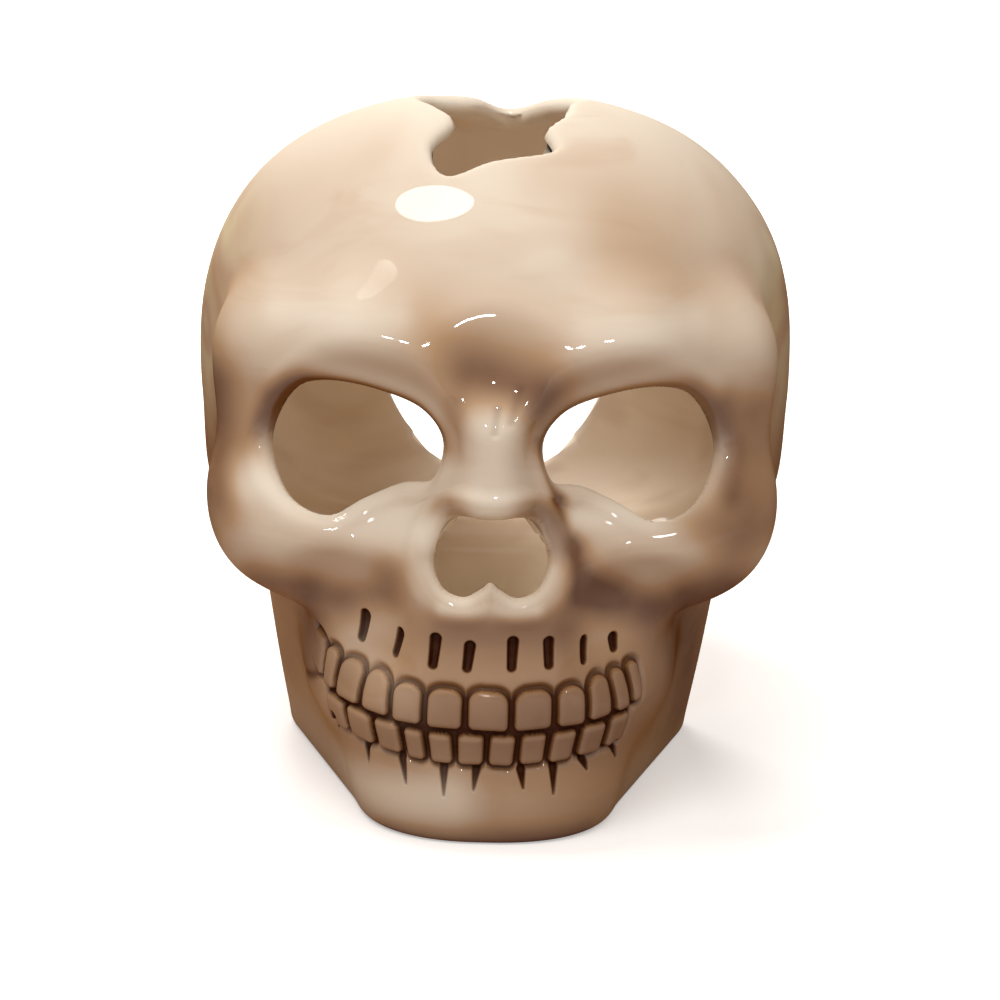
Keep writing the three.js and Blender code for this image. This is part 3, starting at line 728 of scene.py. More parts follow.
def mesh_of(name, points, faces, layers=None, normals=None):
    """A mesh object at the origin from an array of points, and lists of corners as faces."""
    mesh = bpy.data.meshes.new(name)
    mesh.from_pydata(points.tolist(), [], faces)
    for layer, values in (layers or {}).items():
        attribute = mesh.attributes.new(layer, "FLOAT", "POINT")
        attribute.data.foreach_set("value", np.asarray(values, np.float32))
    mesh.polygons.foreach_set("use_smooth", np.ones(len(mesh.polygons), bool))
    if normals is not None:
        mesh.normals_split_custom_set_from_vertices(normals.tolist())
    mesh.update()
    piece = bpy.data.objects.new(name, mesh)
    bpy.context.scene.collection.objects.link(piece)
    return piece


def point_normals(points, faces):
    """The unit sum, at each point, of the cross products of the diagonals of the faces round it."""
    a, b, c, d = (points[faces[:, k]] for k in range(4))
    way = np.cross(c - a, d - b)
    total = np.stack([
        np.bincount(faces.ravel(), np.repeat(way[:, axis], 4), len(points)) for axis in range(3)
    ], -1)
    return total / np.maximum(np.linalg.norm(total, axis=-1, keepdims=True), 1e-12)


# Up to how far from an opening its distance is measured, how far off its outline a corner of the skin and one
# of the lining must lie to stay where they are, and in how many steps the others are drawn onto the outline
OPENING_REACH = 12 * MM
SKIN_KEEP, LINING_KEEP = 0.15 * MM, 0.3 * MM
OUTLINE_STEPS = 5


def shell(casting, openings, grid, columns, rows, lining):
    """One face of the casting's wall: rays settled on the form, cells beyond an opening's outline dropped,
    their loose corners drawn onto it, and a round nose turned towards the middle of the wall."""
    rays, polar, around = ray_grid(casting, grid, columns, rows)
    depth = casting.size.wall if lining else 0
    sense = -1 if lining else 1

    def surface(ways):
        at = casting.heart + ways * casting.settle(ways, depth, lining)[:, None]
        normal, steep = casting.slope(at, foot=False)
        half_wall = casting.size.wall / 2 / np.maximum(steep, 0.5)
        return at, normal, half_wall, at - sense * half_wall[:, None] * normal

    at, normal, half_wall, middle = surface(rays)
    gap, way, which = openings.measure(middle, OPENING_REACH)
    faces = grid_faces(columns, rows)
    keep = gap > (LINING_KEEP if lining else SKIN_KEEP)
    faces = faces[keep[faces].any(1)]
    loose = np.unique(faces[~keep[faces]])
    for _ in range(OUTLINE_STEPS):
        aim = way[loose] - (way[loose] * normal[loose]).sum(-1, keepdims=True) * normal[loose]
        steep = np.maximum((aim * aim).sum(-1, keepdims=True), 0.15)
        ways = at[loose] - gap[loose][:, None] * aim / steep - casting.heart
        ways /= np.linalg.norm(ways, axis=-1, keepdims=True)
        at[loose], normal[loose], half_wall[loose], middle[loose] = surface(ways)
        gap[loose], way[loose], which[loose] = openings.measure(middle[loose], OPENING_REACH)
    lean = (way * normal).sum(-1)
    true_gap = gap / np.sqrt(np.clip(1 - lean * lean, 0.2, 1))
    short = np.clip(1 - true_gap / half_wall, 0, 1)
    short[loose] = 1
    sink = half_wall * (1 - np.sqrt(np.clip(1 - short * short, 0, 1)))
    if not lining:
        normal = casting.slope(at)[0]
    aim = way - lean[:, None] * normal
    aim /= np.maximum(np.linalg.norm(aim, axis=-1, keepdims=True), 1e-9)
    turned = sense * normal * np.sqrt(1 - short * short)[:, None] - aim * short[:, None]
    return SimpleNamespace(
        at=at, normal=normal, faces=faces, gap=true_gap, way=way, which=which, sink=sink, turned=turned,
        short=short, polar=polar, around=around,
    )


def nosed(normals, turned, short):
    """The normals of a face, which take those of the round nose where the skin turns into an opening."""
    alike = (normals * turned).sum(-1)
    part = (rising(short, 0.02, 0.3) * rising(alike, 0.1, 0.5))[:, None]
    mixed = normals * (1 - part) + turned * part
    return mixed / np.maximum(np.linalg.norm(mixed, axis=-1, keepdims=True), 1e-9)


def stroke(points, start, end):
    """Distance in the front view from a straight stroke, given by shares of half the width and the height."""
    scale = np.array([half_width, skull_height])
    line = (np.array(end) - start) * scale
    rest = points[:, (0, 2)] - np.array(start) * scale
    t = np.clip(rest @ line / (line @ line), 0, 1)
    return np.linalg.norm(rest - t[:, None] * line, axis=-1)


# The brown stain and painted shade that gather in hollows: how strong, and how far off the skin it feels for
# them. Then the veil of brown stain and painted shade that darkens the lower face: how strong, and the shares
# of the height where it starts and where it is full
HOLLOW_STAIN_AND_SHADE = ((0.4, 8 * MM), (0.35, 3 * MM))
VEIL_STAIN_AND_SHADE, VEIL_NONE, VEIL_FULL = 0.36, 0.46, 0.24


def brushwork(casting, at, normal):
    """The brown stain with painted shade, the paled places of painted highlight and the pressed-in clay:
    strokes over the face, stain and painted shade where the form is hollow, and a veil of stain and painted
    shade over the lower face."""
    stain_and_shade, pale_highlight, sunk = np.zeros((3, len(at)))
    fading = rising(-at[:, 1], -half_depth / 1.6, half_depth / 8)
    for start, end, wide, strong, deep in STAIN_SHADE_AND_HIGHLIGHT_STROKES:
        soft = carve(stroke(at, start, end), wide * skull_height) * fading
        # A stroke above 0 lays brown stain and painted shade, and one below 0 paints a paler highlight
        stain_and_shade = 1 - (1 - stain_and_shade) * (1 - max(strong, 0) * soft)
        pale_highlight = 1 - (1 - pale_highlight) * (1 + min(strong, 0) * soft)
        sunk = np.maximum(sunk, deep * casting.size.wall * soft)
    # Darker in recesses, as brown stain and painted shade
    hollow_stain_and_shade = sum(strong * cavity(casting, at, normal, reach) for strong, reach in HOLLOW_STAIN_AND_SHADE)
    # Darker towards the foot over the lower face, as brown stain and painted shade from the light above
    veil_stain_and_shade = VEIL_STAIN_AND_SHADE * rising(-at[:, 2], -VEIL_NONE * skull_height, -VEIL_FULL * skull_height)
    stain_and_shade = 1 - (1 - stain_and_shade) * (1 - np.clip(hollow_stain_and_shade, 0, 1)) * (1 - veil_stain_and_shade)
    return stain_and_shade * (1 - pale_highlight), pale_highlight, -sunk


def lustre_of(at):
    """The lustre on both temples: an oval patch seen from the side, placed by shares."""
    along = (at[:, 1] / half_depth + 0.2) / 0.34
    up = (at[:, 2] / skull_height - 0.72) / 0.17
    outwards = np.clip((np.abs(at[:, 0]) / half_width - 0.7) * 5, 0, 1)
    return np.exp(-((along * along + up * up) ** 2)) * outwards


def furrows(casting, at):
    """The fine furrows at the root of the nose and on the jaw, as relief and wash."""
    relief, wash = np.zeros((2, len(at)))
    wall, front = casting.size.wall, on_face(at)
    for start, end, wide, deep in FURROW_SHARES:
        cut = carve(stroke(at, start, end), wide * wall) * front
        relief -= deep * wall * cut
        wash = np.maximum(wash, min(6 * deep, 1) * cut)
    return relief, wash


class Socket:
    """A shader socket in arithmetic: an expression on sockets and numbers adds the Math nodes for it."""

    def __init__(self, shader, output):
        self.shader, self.output = shader, output

    def _math(self, operation, *values, clamp=False):
        settings = {"operation": operation, "use_clamp": clamp}
        return self.shader.node("ShaderNodeMath", settings, dict(enumerate(values)))

    def __add__(self, other):
        return self._math("ADD", self, other)

    def __radd__(self, other):
        return self._math("ADD", other, self)

    def __sub__(self, other):
        return self._math("SUBTRACT", self, other)

    def __rsub__(self, other):
        return self._math("SUBTRACT", other, self)

    def __mul__(self, other):
        return self._math("MULTIPLY", self, other)

    def __rmul__(self, other):
        return self._math("MULTIPLY", other, self)

    def clamped(self):
        return self._math("ADD", self, 0.0, clamp=True)

    def folded(self, width):
        """The value folded back and forth between 0 and a width."""
        return self._math("PINGPONG", self, width)

    def between(self, low, high):
        """0 below the low value, 1 above the high one, and a soft step from one to the other."""
        settings = {"interpolation_type": "SMOOTHSTEP"}
        return self.shader.node("ShaderNodeMapRange", settings, {0: self, 1: low, 2: high, 3: 0.0, 4: 1.0})


class Shader:
    """A material and its nodes."""

    def __init__(self, owner):
        """Takes the name of a new material, or the world."""
        world = not isinstance(owner, str)
        self.material = owner if world else bpy.data.materials.new(owner)
        self.material.use_nodes = True
        self.tree = self.material.node_tree
        self.tree.nodes.clear()
        self.end = self.add("ShaderNodeOutputWorld" if world else "ShaderNodeOutputMaterial")
        if not world:
            self.coordinates = self.node("ShaderNodeTexCoord", output="Object")

    def add(self, kind, settings=None, values=None):
        """Adds a node, sets its settings first, and then its sockets to values or links."""
        made = self.tree.nodes.new(kind)
        for setting, value in (settings or {}).items():
            setattr(made, setting, value)
        for socket, value in (values or {}).items():
            if isinstance(value, Socket):
                self.tree.links.new(value.output, made.inputs[socket])
            else:
                made.inputs[socket].default_value = value
        return made

    def node(self, kind, settings=None, values=None, output=0):
        """Adds a node and gives one of its outputs."""
        return Socket(self, self.add(kind, settings, values).outputs[output])

    def layer(self, name):
        """A number that the mesh carries at each point."""
        return self.node("ShaderNodeAttribute", {"attribute_name": name}, output="Fac")

    def noise(self, scale, detail=2.0, roughness=0.5, distortion=0.0, vector=None):
        """Cloudy noise on the piece's own coordinates, with a scale in waves a metre."""
        return self.node("ShaderNodeTexNoise", values={
            "Vector": vector or self.coordinates, "Scale": scale, "Detail": detail, "Roughness": roughness,
            "Distortion": distortion,
        }, output="Fac")

    def mix(self, factor, first, second):
        """A colour between two colours."""
        first, second = (shade if isinstance(shade, Socket) else (*shade, 1) for shade in (first, second))
        return self.node("ShaderNodeMix", {"data_type": "RGBA"}, {0: factor, 6: first, 7: second}, 2)

    def bump(self, height, distance, strength):
        """A normal bent by a height, with the distance that a height of 1 stands for."""
        return self.node("ShaderNodeBump", {}, {"Height": height, "Distance": distance, "Strength": strength})

    def finish(self, closure):
        """Links a closure to the output."""
        self.tree.links.new(closure.output, self.end.inputs["Surface"])
        return self.material

    def surface(self, **values):
        """The main shader, linked to the output."""
        named = {key.replace("_", " "): value for key, value in values.items()}
        return self.finish(self.node("ShaderNodeBsdfPrincipled", {}, named))


def glossy_coat(shader):
    """A clear coat that shines no more at a glancing angle than from the front."""
    facing = shader.node("ShaderNodeLayerWeight", {}, {"Blend": 0.5}, "Facing")
    return 0.95 * (1 - facing) * (1 - facing)


def glaze_material(colours):
    """Bone glaze: cream clouded and brushed with blush, brown stain and painted shade in the hollows and on
    the lower face, painted highlights paler than the cream, dark wash in the lines, a yellow lustre in bands
    on the temples and a clear gloss over all."""
    shader = Shader("bone_glaze")
    wash, stain_and_shade, pale_highlight, lustre, rim, thin = (
        shader.layer(name) for name in ("wash", "stain_and_shade", "pale_highlight", "lustre", "rim", "thin")
    )
    brushed = shader.node("ShaderNodeMapping", {}, {"Vector": shader.coordinates, "Scale": (0.35, 0.6, 1.6)})
    clouds = shader.noise(30, 3, 0.55, 0.8)
    drift = shader.noise(13, 2, 0.5, 1.2)
    strokes = shader.noise(60, 3, 0.6, 0.8, brushed)
    fine = shader.noise(420, 3, 0.6)
    pink = (drift.between(0.45, 0.7) * 0.45 + strokes.between(0.5, 0.72) * 0.35).clamped()
    body = shader.mix((pink * (1 - 0.8 * pale_highlight)).clamped(), colours.cream, colours.blush)
    # Brown stain and painted shade: honey where light, tan where strongest
    laid = stain_and_shade * (0.72 + 0.5 * clouds + 0.2 * strokes)
    body = shader.mix((laid * 2).clamped(), body, colours.honey)
    body = shader.mix((laid * 2 - 1).clamped(), body, colours.tan)
    bands = (shader.noise(26, 1, 0.5, 1.4) * 4).folded(0.5)
    pearl = shader.mix(bands.between(0.0, 0.5), colours.pearl, colours.blush)
    body = shader.mix((lustre * 0.5).clamped(), body, pearl)
    body = shader.mix((wash * (0.88 + 0.2 * fine)).clamped(), body, colours.umber)
    # Paler where the glaze thins over rims, and as painted highlight on the lit tops of the face
    body = shader.mix((rim * 0.6 + pale_highlight * 0.4).clamped(), body, colours.edge)
    return shader.surface(
        Base_Color=body,
        Roughness=0.34 + 0.2 * fine,
        Normal=shader.bump(fine * 0.4 + clouds, 0.08 * MM, 0.4),
        Coat_Weight=glossy_coat(shader) * (1 - 0.92 * wash) * (1 - 0.9 * thin),
        Coat_Roughness=0.04,
        Coat_IOR=1.55,
        IOR=1.5,
        Specular_IOR_Level=0,
    )


def lining_material(colours):
    """The same glaze inside, made paler than the outside as painted light in the dim cavity, with runs of
    blush and clouds of cream.
    """
    shader = Shader("lining_glaze")
    rim = shader.layer("rim")
    runs = shader.noise(18, 2, 0.5, 2.4)
    clouds = shader.noise(42, 3, 0.55, 0.8)
    body = shader.mix(runs.between(0.45, 0.7) * 0.35, colours.inside, colours.blush)
    body = shader.mix((clouds.between(0.5, 0.8) * 0.25).clamped(), body, colours.cream)
    body = shader.mix((rim * 0.6).clamped(), body, colours.edge)
    return shader.surface(
        Base_Color=body,
        Roughness=0.36 + 0.15 * clouds,
        Normal=shader.bump(clouds, 0.2 * MM, 0.4),
        Coat_Weight=glossy_coat(shader) * 0.7,
        Coat_Roughness=0.08,
        Coat_IOR=1.5,
        IOR=1.5,
        Specular_IOR_Level=0,
    )


# Round an opening: where the painted shade and brown stain over its top start to fade and over what distance,
# how far the glaze thins over its edge, and the margin over which the relief fades in. Then that margin at
# the foot
RIM_SHADE_AND_STAIN_START, RIM_SHADE_AND_STAIN_FADE, RIM_REACH, RIM_MARGIN, FOOT_MARGIN = 1.2 * MM, 1.9 * MM, 1.5 * MM, 2.5 * MM, 6 * MM


class SKULL_OT_casting(bpy.types.Operator):
    """Makes the glazed casting: its outer skin and its lining, which meet in the middle of each rim"""

    bl_idname = "skull.casting"
    bl_label = "Glazed casting"

    def execute(self, context):
        scene = context.scene
        casting = Casting(scene)
        openings = Openings(casting)
        grid = scene.skull_grid
        glaze = glaze_material(scene.skull_glaze)
        pieces = self.skin(casting, openings, grid)
        for piece in pieces:
            piece.data.materials.append(glaze)
        pieces.append(self.lining(casting, openings, grid))
        pieces[-1].data.materials.append(lining_material(scene.skull_glaze))
        for piece in pieces:
            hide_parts("skull")
            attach(piece, "skull")
        return {"FINISHED"}

    def skin(self, casting, openings, grid):
        """The outer skin on one grid, handed out as mouth, face and dome, which share the points and normals
        of their seams."""
        sizes = casting.open
        face = shell(casting, openings, grid, grid.columns, grid.rows, False)
        at, faces, gap = face.at, face.faces, face.gap
        relief, wash, bleed = Mouth(casting).shape(at)
        furrow, furrow_wash = furrows(casting, at)
        stain_and_shade, pale_highlight, sunk = brushwork(casting, at, face.normal)
        # Painted shade and brown stain along the top edge of the eyes and the nose, where the form above them
        # is shaded
        above = rising(face.way[:, 2], -0.3, 0.5) * RIM_SHADE_AND_STAIN_SHARES[face.which] * (1 - pale_highlight)
        stain_and_shade = 1 - (1 - stain_and_shade) * (1 - above * carve(np.maximum(gap - RIM_SHADE_AND_STAIN_START, 0), RIM_SHADE_AND_STAIN_FADE))
        roll = carve(gap - sizes.rim_swell_place, sizes.rim_swell_width) * sizes.rim_swell
        rolled = np.isin(face.which, (0, 1, 2))
        uneven = casting.size.hand_wobble * wobble(at, casting.size.wobble_pitch)
        clear = rising(gap, 0, RIM_MARGIN) * rising(at[:, 2], 0, FOOT_MARGIN)
        relief = (relief + furrow + sunk + roll * rolled + uneven) * clear
        points = np.clip(at + face.normal * (relief - face.sink)[:, None], skull_low, skull_high)
        thin_start, thin_end, thin_width = THIN_GLAZE_SHARES
        thin = carve(stroke(at, thin_start, thin_end), thin_width * skull_height)
        layers = {
            "wash": np.maximum(wash, furrow_wash),
            "stain_and_shade": 1 - (1 - stain_and_shade) * (1 - bleed),
            "pale_highlight": pale_highlight,
            "lustre": lustre_of(at),
            "thin": thin * in_front(at),
            "rim": rim_of(gap) * (1 - above),
        }
        normals = nosed(point_normals(points, faces), face.turned, face.short)
        polar, around = face.polar[faces[:, 0]], face.around[faces[:, 0]]
        middle, reach = (grid.mouth_near + grid.mouth_far) / 2, (grid.mouth_far - grid.mouth_near) / 2
        mouth = (np.abs(around) < grid.mouth_turn) & (np.abs(polar - middle) < reach)
        upper, dome = polar < middle, polar > grid.face_far
        parts = {
            "upper_mouth": mouth & upper,
            "lower_mouth": mouth & ~upper,
            "face": ~mouth & ~dome,
            "dome": dome,
        }
        pieces = []
        for name, part in parts.items():
            used, numbered = close_in(points, faces[part])
            carried = {layer: values[used] for layer, values in layers.items()}
            pieces.append(mesh_of("skull_" + name, points[used], numbered.tolist(), carried, normals[used]))
        return pieces

    def lining(self, casting, openings, grid):
        """The inside of the wall, which meets the skin in the middle of each rim."""
        face = shell(casting, openings, grid, grid.lining_columns, grid.lining_rows, True)
        used, numbered = close_in(face.at, face.faces)
        points, numbered = (face.at + face.normal * face.sink[:, None])[used], numbered[:, ::-1]
        normals = nosed(point_normals(points, numbered), face.turned[used], face.short[used])
        return mesh_of("skull_lining", points, numbered.tolist(), {"rim": rim_of(face.gap)[used]}, normals)


def rim_of(gap):
    """How far the glaze thins over the edge of an opening."""
    return carve(np.maximum(gap, 0), RIM_REACH)


def close_in(points, faces):
    """Which of the points the faces use, and the faces with their corners numbered among those."""
    used = np.unique(faces)
    number = np.full(len(points), -1)
    number[used] = np.arange(len(used))
    return used, number[faces]


def cavity(casting, at, normal, reach):
    """How hollow the form is: how much nearer it lies, at a height over the skin, than a flat one would."""
    return np.clip(1 - casting.outside(at + normal * reach, foot=False) / reach, 0, 1)


def revolve(name, profile, middle, columns=128, ripple=None):
    """A profile of radius and height carried round an upright axis. For a closed body it starts and ends on
    the axis or closes on itself. A ripple moves each point out by its turn and its place in the profile."""
    radius, height = np.array(profile).T
    turn = np.arange(columns) * 2 * math.pi / columns
    spread = radius[:, None] + np.zeros(columns)
    if ripple is not None:
        spread = spread + ripple(turn[None, :], radius[:, None], height[:, None])
    x, y = spread * np.cos(turn) + middle[0], spread * np.sin(turn) + middle[1]
    z = height[:, None] + np.zeros(columns)
    points = np.stack([x, y, z], -1).reshape(-1, 3)
    return mesh_of(name, points, grid_faces(columns, len(radius)).tolist())


def arc(centre, radius, start, end, steps=8):
    """Points on an arc from one angle to another, in degrees."""
    turn = np.linspace(start, end, steps) * DEGREE
    return np.stack([centre[0] + radius * np.cos(turn), centre[1] + radius * np.sin(turn)], -1).tolist()


def join_and_face(piece):
    """Merges the doubled points on an axis or a seam, and turns all faces outwards."""
    made = bmesh.new()
    made.from_mesh(piece.data)
    bmesh.ops.remove_doubles(made, verts=made.verts, dist=1e-6)
    bmesh.ops.dissolve_degenerate(made, edges=made.edges, dist=1e-7)
    bmesh.ops.recalc_face_normals(made, faces=made.faces)
    made.to_mesh(piece.data)
    made.free()
    piece.data.polygons.foreach_set("use_smooth", np.ones(len(piece.data.polygons), bool))
    piece.data.update()
    return piece


def foil_material():
    """Drawn aluminium foil: a fine grain and small dents."""
    shader = Shader("drawn_foil")
    dents = shader.noise(160, 2, 0.5)
    grain = shader.noise(900, 2, 0.6)
    return shader.surface(
        Base_Color=shader.mix(dents, (0.82, 0.83, 0.84), (0.70, 0.71, 0.72)),
        Metallic=1.0,
        Roughness=0.24 + 0.16 * grain,
        Normal=shader.bump(dents + 0.3 * grain, 0.08 * MM, 0.5),
    )


def wax_material():
    """Candle wax: milky, a little translucent and faintly clouded."""
    shader = Shader("candle_wax")
    clouds = shader.noise(90, 3, 0.5)
    return shader.surface(
        Base_Color=shader.mix(clouds, (0.88, 0.83, 0.70), (0.80, 0.74, 0.60)),
        Roughness=0.36 + 0.2 * clouds,
        Subsurface_Weight=0.35,
        Subsurface_Radius=(1.0, 0.7, 0.45),
        Subsurface_Scale=2.5 * MM,
        Normal=shader.bump(clouds, 0.12 * MM, 0.5),
    )


def tinplate_material():
    """Stamped tinplate with a fine grain."""
    shader = Shader("tinplate")
    grain = shader.noise(700, 2, 0.6)
    return shader.surface(
        Base_Color=shader.mix(grain, (0.62, 0.63, 0.64), (0.48, 0.49, 0.50)),
        Metallic=1.0, Roughness=0.3 + 0.2 * grain,
    )


def cotton_material():
    """Waxed cotton, paler on the strands, with painted shade in the grooves between them."""
    shader = Shader("waxed_cotton")
    strand = shader.layer("strand")
    fuzz = shader.noise(2600, 2, 0.6)
    return shader.surface(
        # Darker between the strands as painted shade in the grooves
        Base_Color=shader.mix(strand, (0.52, 0.46, 0.36), (0.86, 0.82, 0.72)),
        Roughness=0.75 + 0.2 * fuzz,
        Normal=shader.bump(fuzz, 0.05 * MM, 0.6),
    )


class SKULL_OT_tealight(bpy.types.Operator):
    """Makes the tealight: its drawn cup, the wax, the plate that holds the wick, and the braided wick"""

    bl_idname = "skull.tealight"
    bl_label = "Tealight"

    def execute(self, context):
        size = context.scene.skull_tealight
        middle = ((cup_low + cup_high) / 2)[:2]
        made = {
            "tealight_cup": (self.cup(size, middle), foil_material(), "foil"),
            "tealight_wax": (self.wax(size, middle), wax_material(), "wax"),
            "wick_tab": (self.tab(size, middle), tinplate_material(), "tinplate"),
            "wick": (self.wick(size, middle), cotton_material(), "cotton"),
        }
        for node, (piece, material, slot) in made.items():
            piece.data.materials.append(material)
            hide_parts(node)
            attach(piece, "tealight")
        return {"FINISHED"}

    def cup(self, size, middle):
        """The cup's wall as one closed profile, with rounded heels, flutes in its side and a rolled rim."""
        low, high = cup_low[2], cup_high[2]
        outer = (cup_high - cup_low)[0] / 2
        wall = outer - size.rim_roll
        heel = size.rim_roll
        roll = size.rim_roll / 2
        profile = [[0, low]]
        profile += arc((wall - heel, low + heel), heel, -90, 0)
        profile += [[wall, z] for z in np.linspace(low + 2 * heel, high - 2.4 * roll, 12)]
        profile += arc((outer - roll, high - roll), roll, -150, 150, 16)
        inner = wall - size.foil
        profile += [[inner, z] for z in np.linspace(high - 2.4 * roll, low + 2 * heel, 12)]
        profile += arc((wall - heel, low + heel), heel - size.foil, 0, -90)
        profile += [[0, low + size.foil]]

        def flutes(turn, radius, height):
            side = np.clip((height - low - heel) / MM, 0, 1) * np.clip((high - 3 * roll - height) / MM, 0, 1)
            return -size.fluting * (0.5 - 0.5 * np.cos(size.flutes * turn)) * side * (radius > inner - MM)

        return join_and_face(revolve("tealight_cup_foil", profile, middle, 360, flutes))

    def wax(self, size, middle):
        """The wax: rounded at its foot, climbing at its edge, with a shallow dish about the wick."""
        low, high = wax_low[2], wax_high[2]
        outer = (wax_high - wax_low)[0] / 2
        slack = 0.2 * MM
        bore = (wick_high - wick_low)[1] / 2 + slack / 2
        room = (tab_high - tab_low)[0] / 2 + slack
        tab_top = low + size.tab_thickness + slack
        collar, collar_top = size.collar / 2 + slack, tab_high[2] + slack
        foot = size.rim_roll
        profile = [[room, low]] + arc((outer - foot, low + foot), foot, -90, 0)
        profile += [[outer, z] for z in np.linspace(low + 2 * foot, high - 0.3 * MM, 6)]
        across = np.linspace(outer - 0.1 * MM, bore, 40)
        edge = np.exp(-(outer - across) / (1.1 * MM))
        climb = np.exp(-(across - bore) / (0.9 * MM))
        surface = high - size.meniscus * (1 - edge) + 0.45 * size.meniscus * climb * (1 - edge)
        profile += np.stack([across, surface], -1).tolist()
        profile += [[bore, collar_top], [collar, collar_top], [collar, tab_top], [room, tab_top], [room, low]]
        return join_and_face(revolve("tealight_wax_fill", profile, middle, 160))

    def tab(self, size, middle):
        """The wick's plate: a flat disc with a rounded edge and a crimped collar."""
        low, high = tab_low[2], tab_high[2]
        outer = (tab_high - tab_low)[0] / 2
        bore, collar = size.wick / 2 + 0.05 * MM, size.collar / 2
        top = low + size.tab_thickness
        edge, fillet, lip = 0.15 * MM, 0.4 * MM, 0.2 * MM
        profile = [[bore, low]] + arc((outer - edge, low + edge), edge, -90, 0, 4)
        profile += arc((outer - edge, top - edge), edge, 0, 90, 4)
        profile += arc((collar + fillet, top + fillet), fillet, -90, -180, 6)
        profile += [[collar - 0.25 * MM, (top + high) / 2], [collar, high - 0.5 * MM]]
        profile += arc((collar - lip, high - lip), lip, 0, 90, 4)
        profile += [[bore, high], [bore, low]]

        def crimps(turn, radius, height):
            on_collar = (radius > bore + 0.2 * MM) & (height > top + 0.6 * MM)
            return -0.15 * MM * (0.5 - 0.5 * np.cos(4 * turn)) * on_collar

        return join_and_face(revolve("wick_tab_plate", profile, middle, 96, crimps))

    def wick(self, size, middle):
        """Three strands twisted into a wick that leans over at its tip: a three-lobed section turned as it
        is carried up a bent line, drawn to a rounded tip."""
        low, high = wick_low[2], wick_high[2]
        neck = wax_high[2]
        lean = wick_high[0] - middle[0] - size.wick / 2
        rows, columns = 90, 30
        t = np.linspace(0, 1, rows)[:, None]
        height = low + t * (high - low)
        bend = np.clip((height - neck) / (high - neck), 0, 1)
        turn = np.linspace(0, 2 * math.pi, columns, endpoint=False)[None, :]
        twist = 2 * math.pi * (height - low) / size.braid_pitch
        lobes = np.abs(np.cos(1.5 * (turn - twist)))
        base = size.wick / 2 - size.braid
        radius = (base + size.braid * lobes) * np.sqrt(np.clip(1 - ((t - 0.97) / 0.03).clip(0) ** 2, 0.02, 1))
        x = middle[0] + lean * bend * bend + radius * np.cos(turn)
        y = middle[1] + radius * np.sin(turn)
        z = height + np.zeros_like(turn)
        ends = [[middle[0], middle[1], low], [middle[0] + lean, middle[1], high]]
        points = np.concatenate([np.stack([x, y, z], -1).reshape(-1, 3), ends])
        foot, tip, last = rows * columns, rows * columns + 1, (rows - 1) * columns
        ring = [(number, (number + 1) % columns) for number in range(columns)]
        caps = [[foot, a, b] for a, b in ring] + [[tip, last + b, last + a] for a, b in ring]
        strand = np.concatenate([np.broadcast_to(lobes, (rows, columns)).ravel(), [0.5, 0.5]])
        faces = grid_faces(columns, rows).tolist() + caps
        return join_and_face(mesh_of("wick_braid", points, faces, {"strand": strand}))


def lamp(name, at, towards, energy, size, mirrored):
    """An elliptic area lamp at a place, facing another. Only a mirrored one shows in the gloss."""
    light = bpy.data.lights.new(name, "AREA")
    light.shape, light.energy, light.color = "ELLIPSE", energy, (1, 0.98, 0.95)
    light.size, light.size_y = size
    made = bpy.data.objects.new(name, light)
    made.location = at
    made.rotation_euler = (Vector(towards) - Vector(at)).to_track_quat("-Z", "Y").to_euler()
    made.visible_glossy = mirrored
    bpy.context.scene.collection.objects.link(made)


def seen_directly(shader):
    """1 for rays from the camera, a reflection or clear glass, and 0 for light between the objects."""
    seen = shader.add("ShaderNodeLightPath").outputs
    kinds = ("Is Camera Ray", "Is Glossy Ray", "Is Transmission Ray")
    camera, glossy, through = (Socket(shader, seen[kind]) for kind in kinds)
    return (camera + glossy + through).clamped()


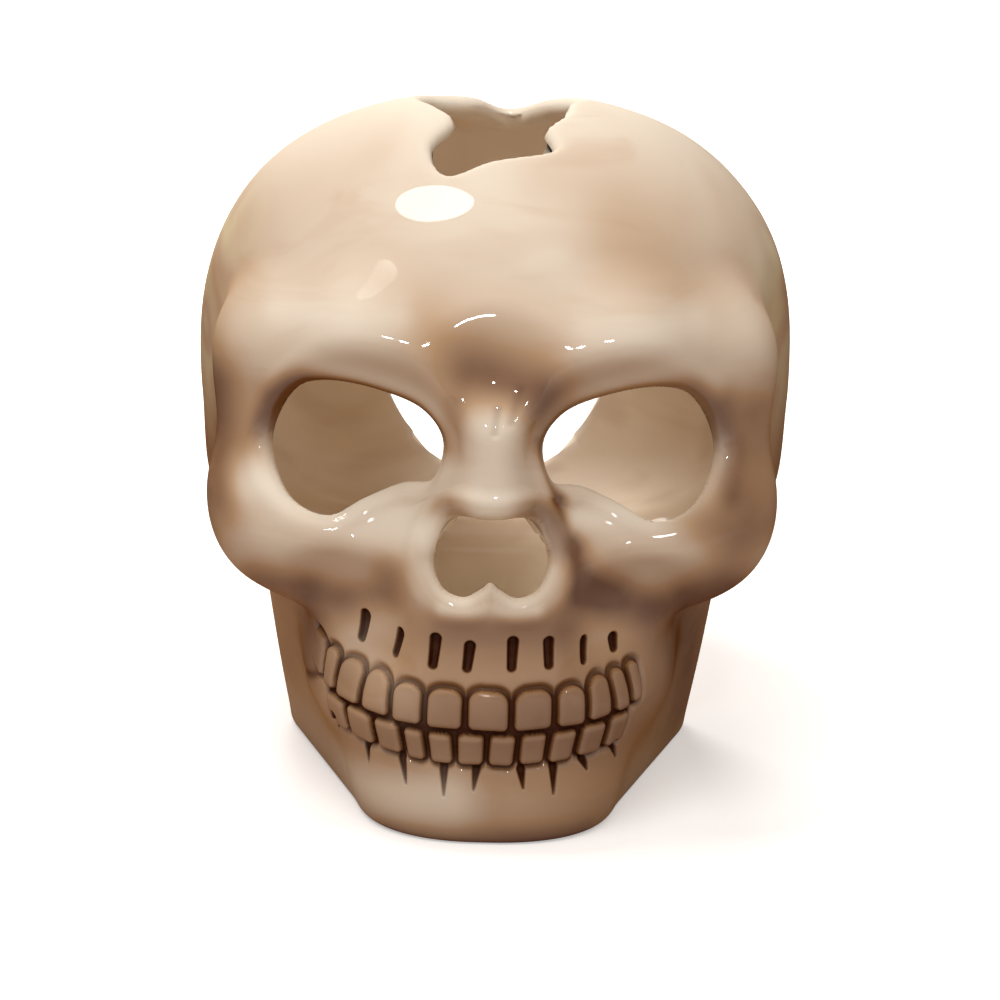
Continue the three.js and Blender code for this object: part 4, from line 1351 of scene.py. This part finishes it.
class SKULL_OT_stage(bpy.types.Operator):
    """Makes the pale floor, the soft lamps, the world and the camera"""

    bl_idname = "skull.stage"
    bl_label = "Stage"

    def execute(self, context):
        scene = context.scene
        size = scene.skull_stage
        self.floor(size)
        self.world(scene)
        self.lamps()
        self.camera(scene, size)
        scene.view_settings.view_transform = "Standard"
        return {"FINISHED"}

    def floor(self, size):
        """A round floor, as a straight profile carried round the upright axis. It is white to look at and in
        reflections, keeps the shadow, and throws back only a little warm light."""
        radius = np.linspace(0, size.floor_reach, 9)
        floor = join_and_face(revolve("floor", np.stack([radius, 0 * radius], -1), (0, 0), 96))
        shader = Shader("pale_floor")
        white = seen_directly(shader)
        matt = shader.node("ShaderNodeBsdfDiffuse", {}, {"Color": (0.42, 0.31, 0.23, 1)})
        bright = shader.node("ShaderNodeBsdfDiffuse", {}, {"Color": (0.93, 0.93, 0.93, 1)})
        far = shader.node("ShaderNodeVectorMath", {"operation": "LENGTH"}, {0: shader.coordinates}, "Value")
        glowing = shader.mix(far.between(0.1, 0.9), (0.4,) * 3, (0.9,) * 3)
        glow = shader.node("ShaderNodeEmission", {}, {"Color": glowing, "Strength": 1.0})
        lit = shader.node("ShaderNodeAddShader", {}, {0: bright, 1: glow})
        both = shader.node("ShaderNodeMixShader", {}, {0: white, 1: matt, 2: lit})
        floor.data.materials.append(shader.finish(both))

    def world(self, scene):
        """A soft even light, white to look at and in reflections."""
        world = bpy.data.worlds.new("soft_room")
        scene.world = world
        world.use_nodes = True
        shader = Shader(world)
        soft = shader.node("ShaderNodeBackground", {}, {"Color": (1.0, 0.84, 0.71, 1), "Strength": 0.32})
        plain = shader.node("ShaderNodeBackground", {}, {"Color": (1, 1, 1, 1), "Strength": 1.0})
        white = seen_directly(shader)
        shader.finish(shader.node("ShaderNodeMixShader", {}, {0: white, 1: soft, 2: plain}))

    def lamps(self):
        """A round lamp whose image lies on the forehead, a soft lamp overhead, one behind that shines in at
        the back opening, and a small one over the camera for the glints."""
        look = (0, 0, skull_height / 2)
        lamp("round_lamp", (-0.128, -0.018, 0.62), (-0.128, -0.018, 0), 1.25, (0.2, 0.165), True)
        lamp("overhead_lamp", (-0.14, -0.52, 0.98), look, 4.3, (0.6, 0.6), False)
        lamp("back_lamp", (-0.2, 0.75, 0.34), look, 5.2, (0.5, 0.5), False)
        lamp("glint_lamp", (0.03, -0.8, 0.6), look, 0.9, (0.08, 0.04), True)

    def camera(self, scene, size):
        """The camera stands off the look point along its line of sight, and is rolled about it."""
        target = Vector((0, size.look_back, size.look_height))
        back = Vector((0, -math.cos(size.camera_elevation), math.sin(size.camera_elevation)))
        lens = bpy.data.cameras.new("camera")
        lens.sensor_width = size.sensor / MM
        lens.lens = size.focal / MM
        lens.shift_x = size.frame_shift
        lens.clip_start, lens.clip_end = 0.02, 20
        made = bpy.data.objects.new("camera", lens)
        turn = (-back).to_track_quat("-Z", "Y").to_matrix() @ Matrix.Rotation(size.camera_roll, 3, "Z")
        made.matrix_world = Matrix.Translation(target + back * size.camera_distance) @ turn.to_4x4()
        scene.collection.objects.link(made)
        scene.camera = made


OPERATORS = (SKULL_OT_casting, SKULL_OT_tealight, SKULL_OT_stage)


class SKULL_PT_holder(bpy.types.Panel):
    """Lists the steps and the sizes and colours that they use"""

    bl_idname = "SKULL_PT_holder"
    bl_label = "Skull candle holder"
    bl_space_type = "VIEW_3D"
    bl_region_type = "UI"
    bl_category = "Skull"

    def draw(self, context):
        for operator in OPERATORS:
            self.layout.operator(operator.bl_idname)
        for name, group in GROUPS.items():
            box = self.layout.box()
            box.label(text=group.__name__)
            for key in group.__annotations__:
                box.prop(getattr(context.scene, name), key, text=key.replace("_", " ").capitalize())


def register():
    for group in (*GROUPS.values(), *OPERATORS, SKULL_PT_holder):
        bpy.utils.register_class(group)
    for name, group in GROUPS.items():
        setattr(bpy.types.Scene, name, PointerProperty(type=group))


def unregister():
    for name in GROUPS:
        delattr(bpy.types.Scene, name)
    for group in reversed((*GROUPS.values(), *OPERATORS, SKULL_PT_holder)):
        bpy.utils.unregister_class(group)


def main():
    register()
    bpy.ops.skull.casting()
    bpy.ops.skull.tealight()
    bpy.ops.skull.stage()


if __name__ == "__main__":
    main()
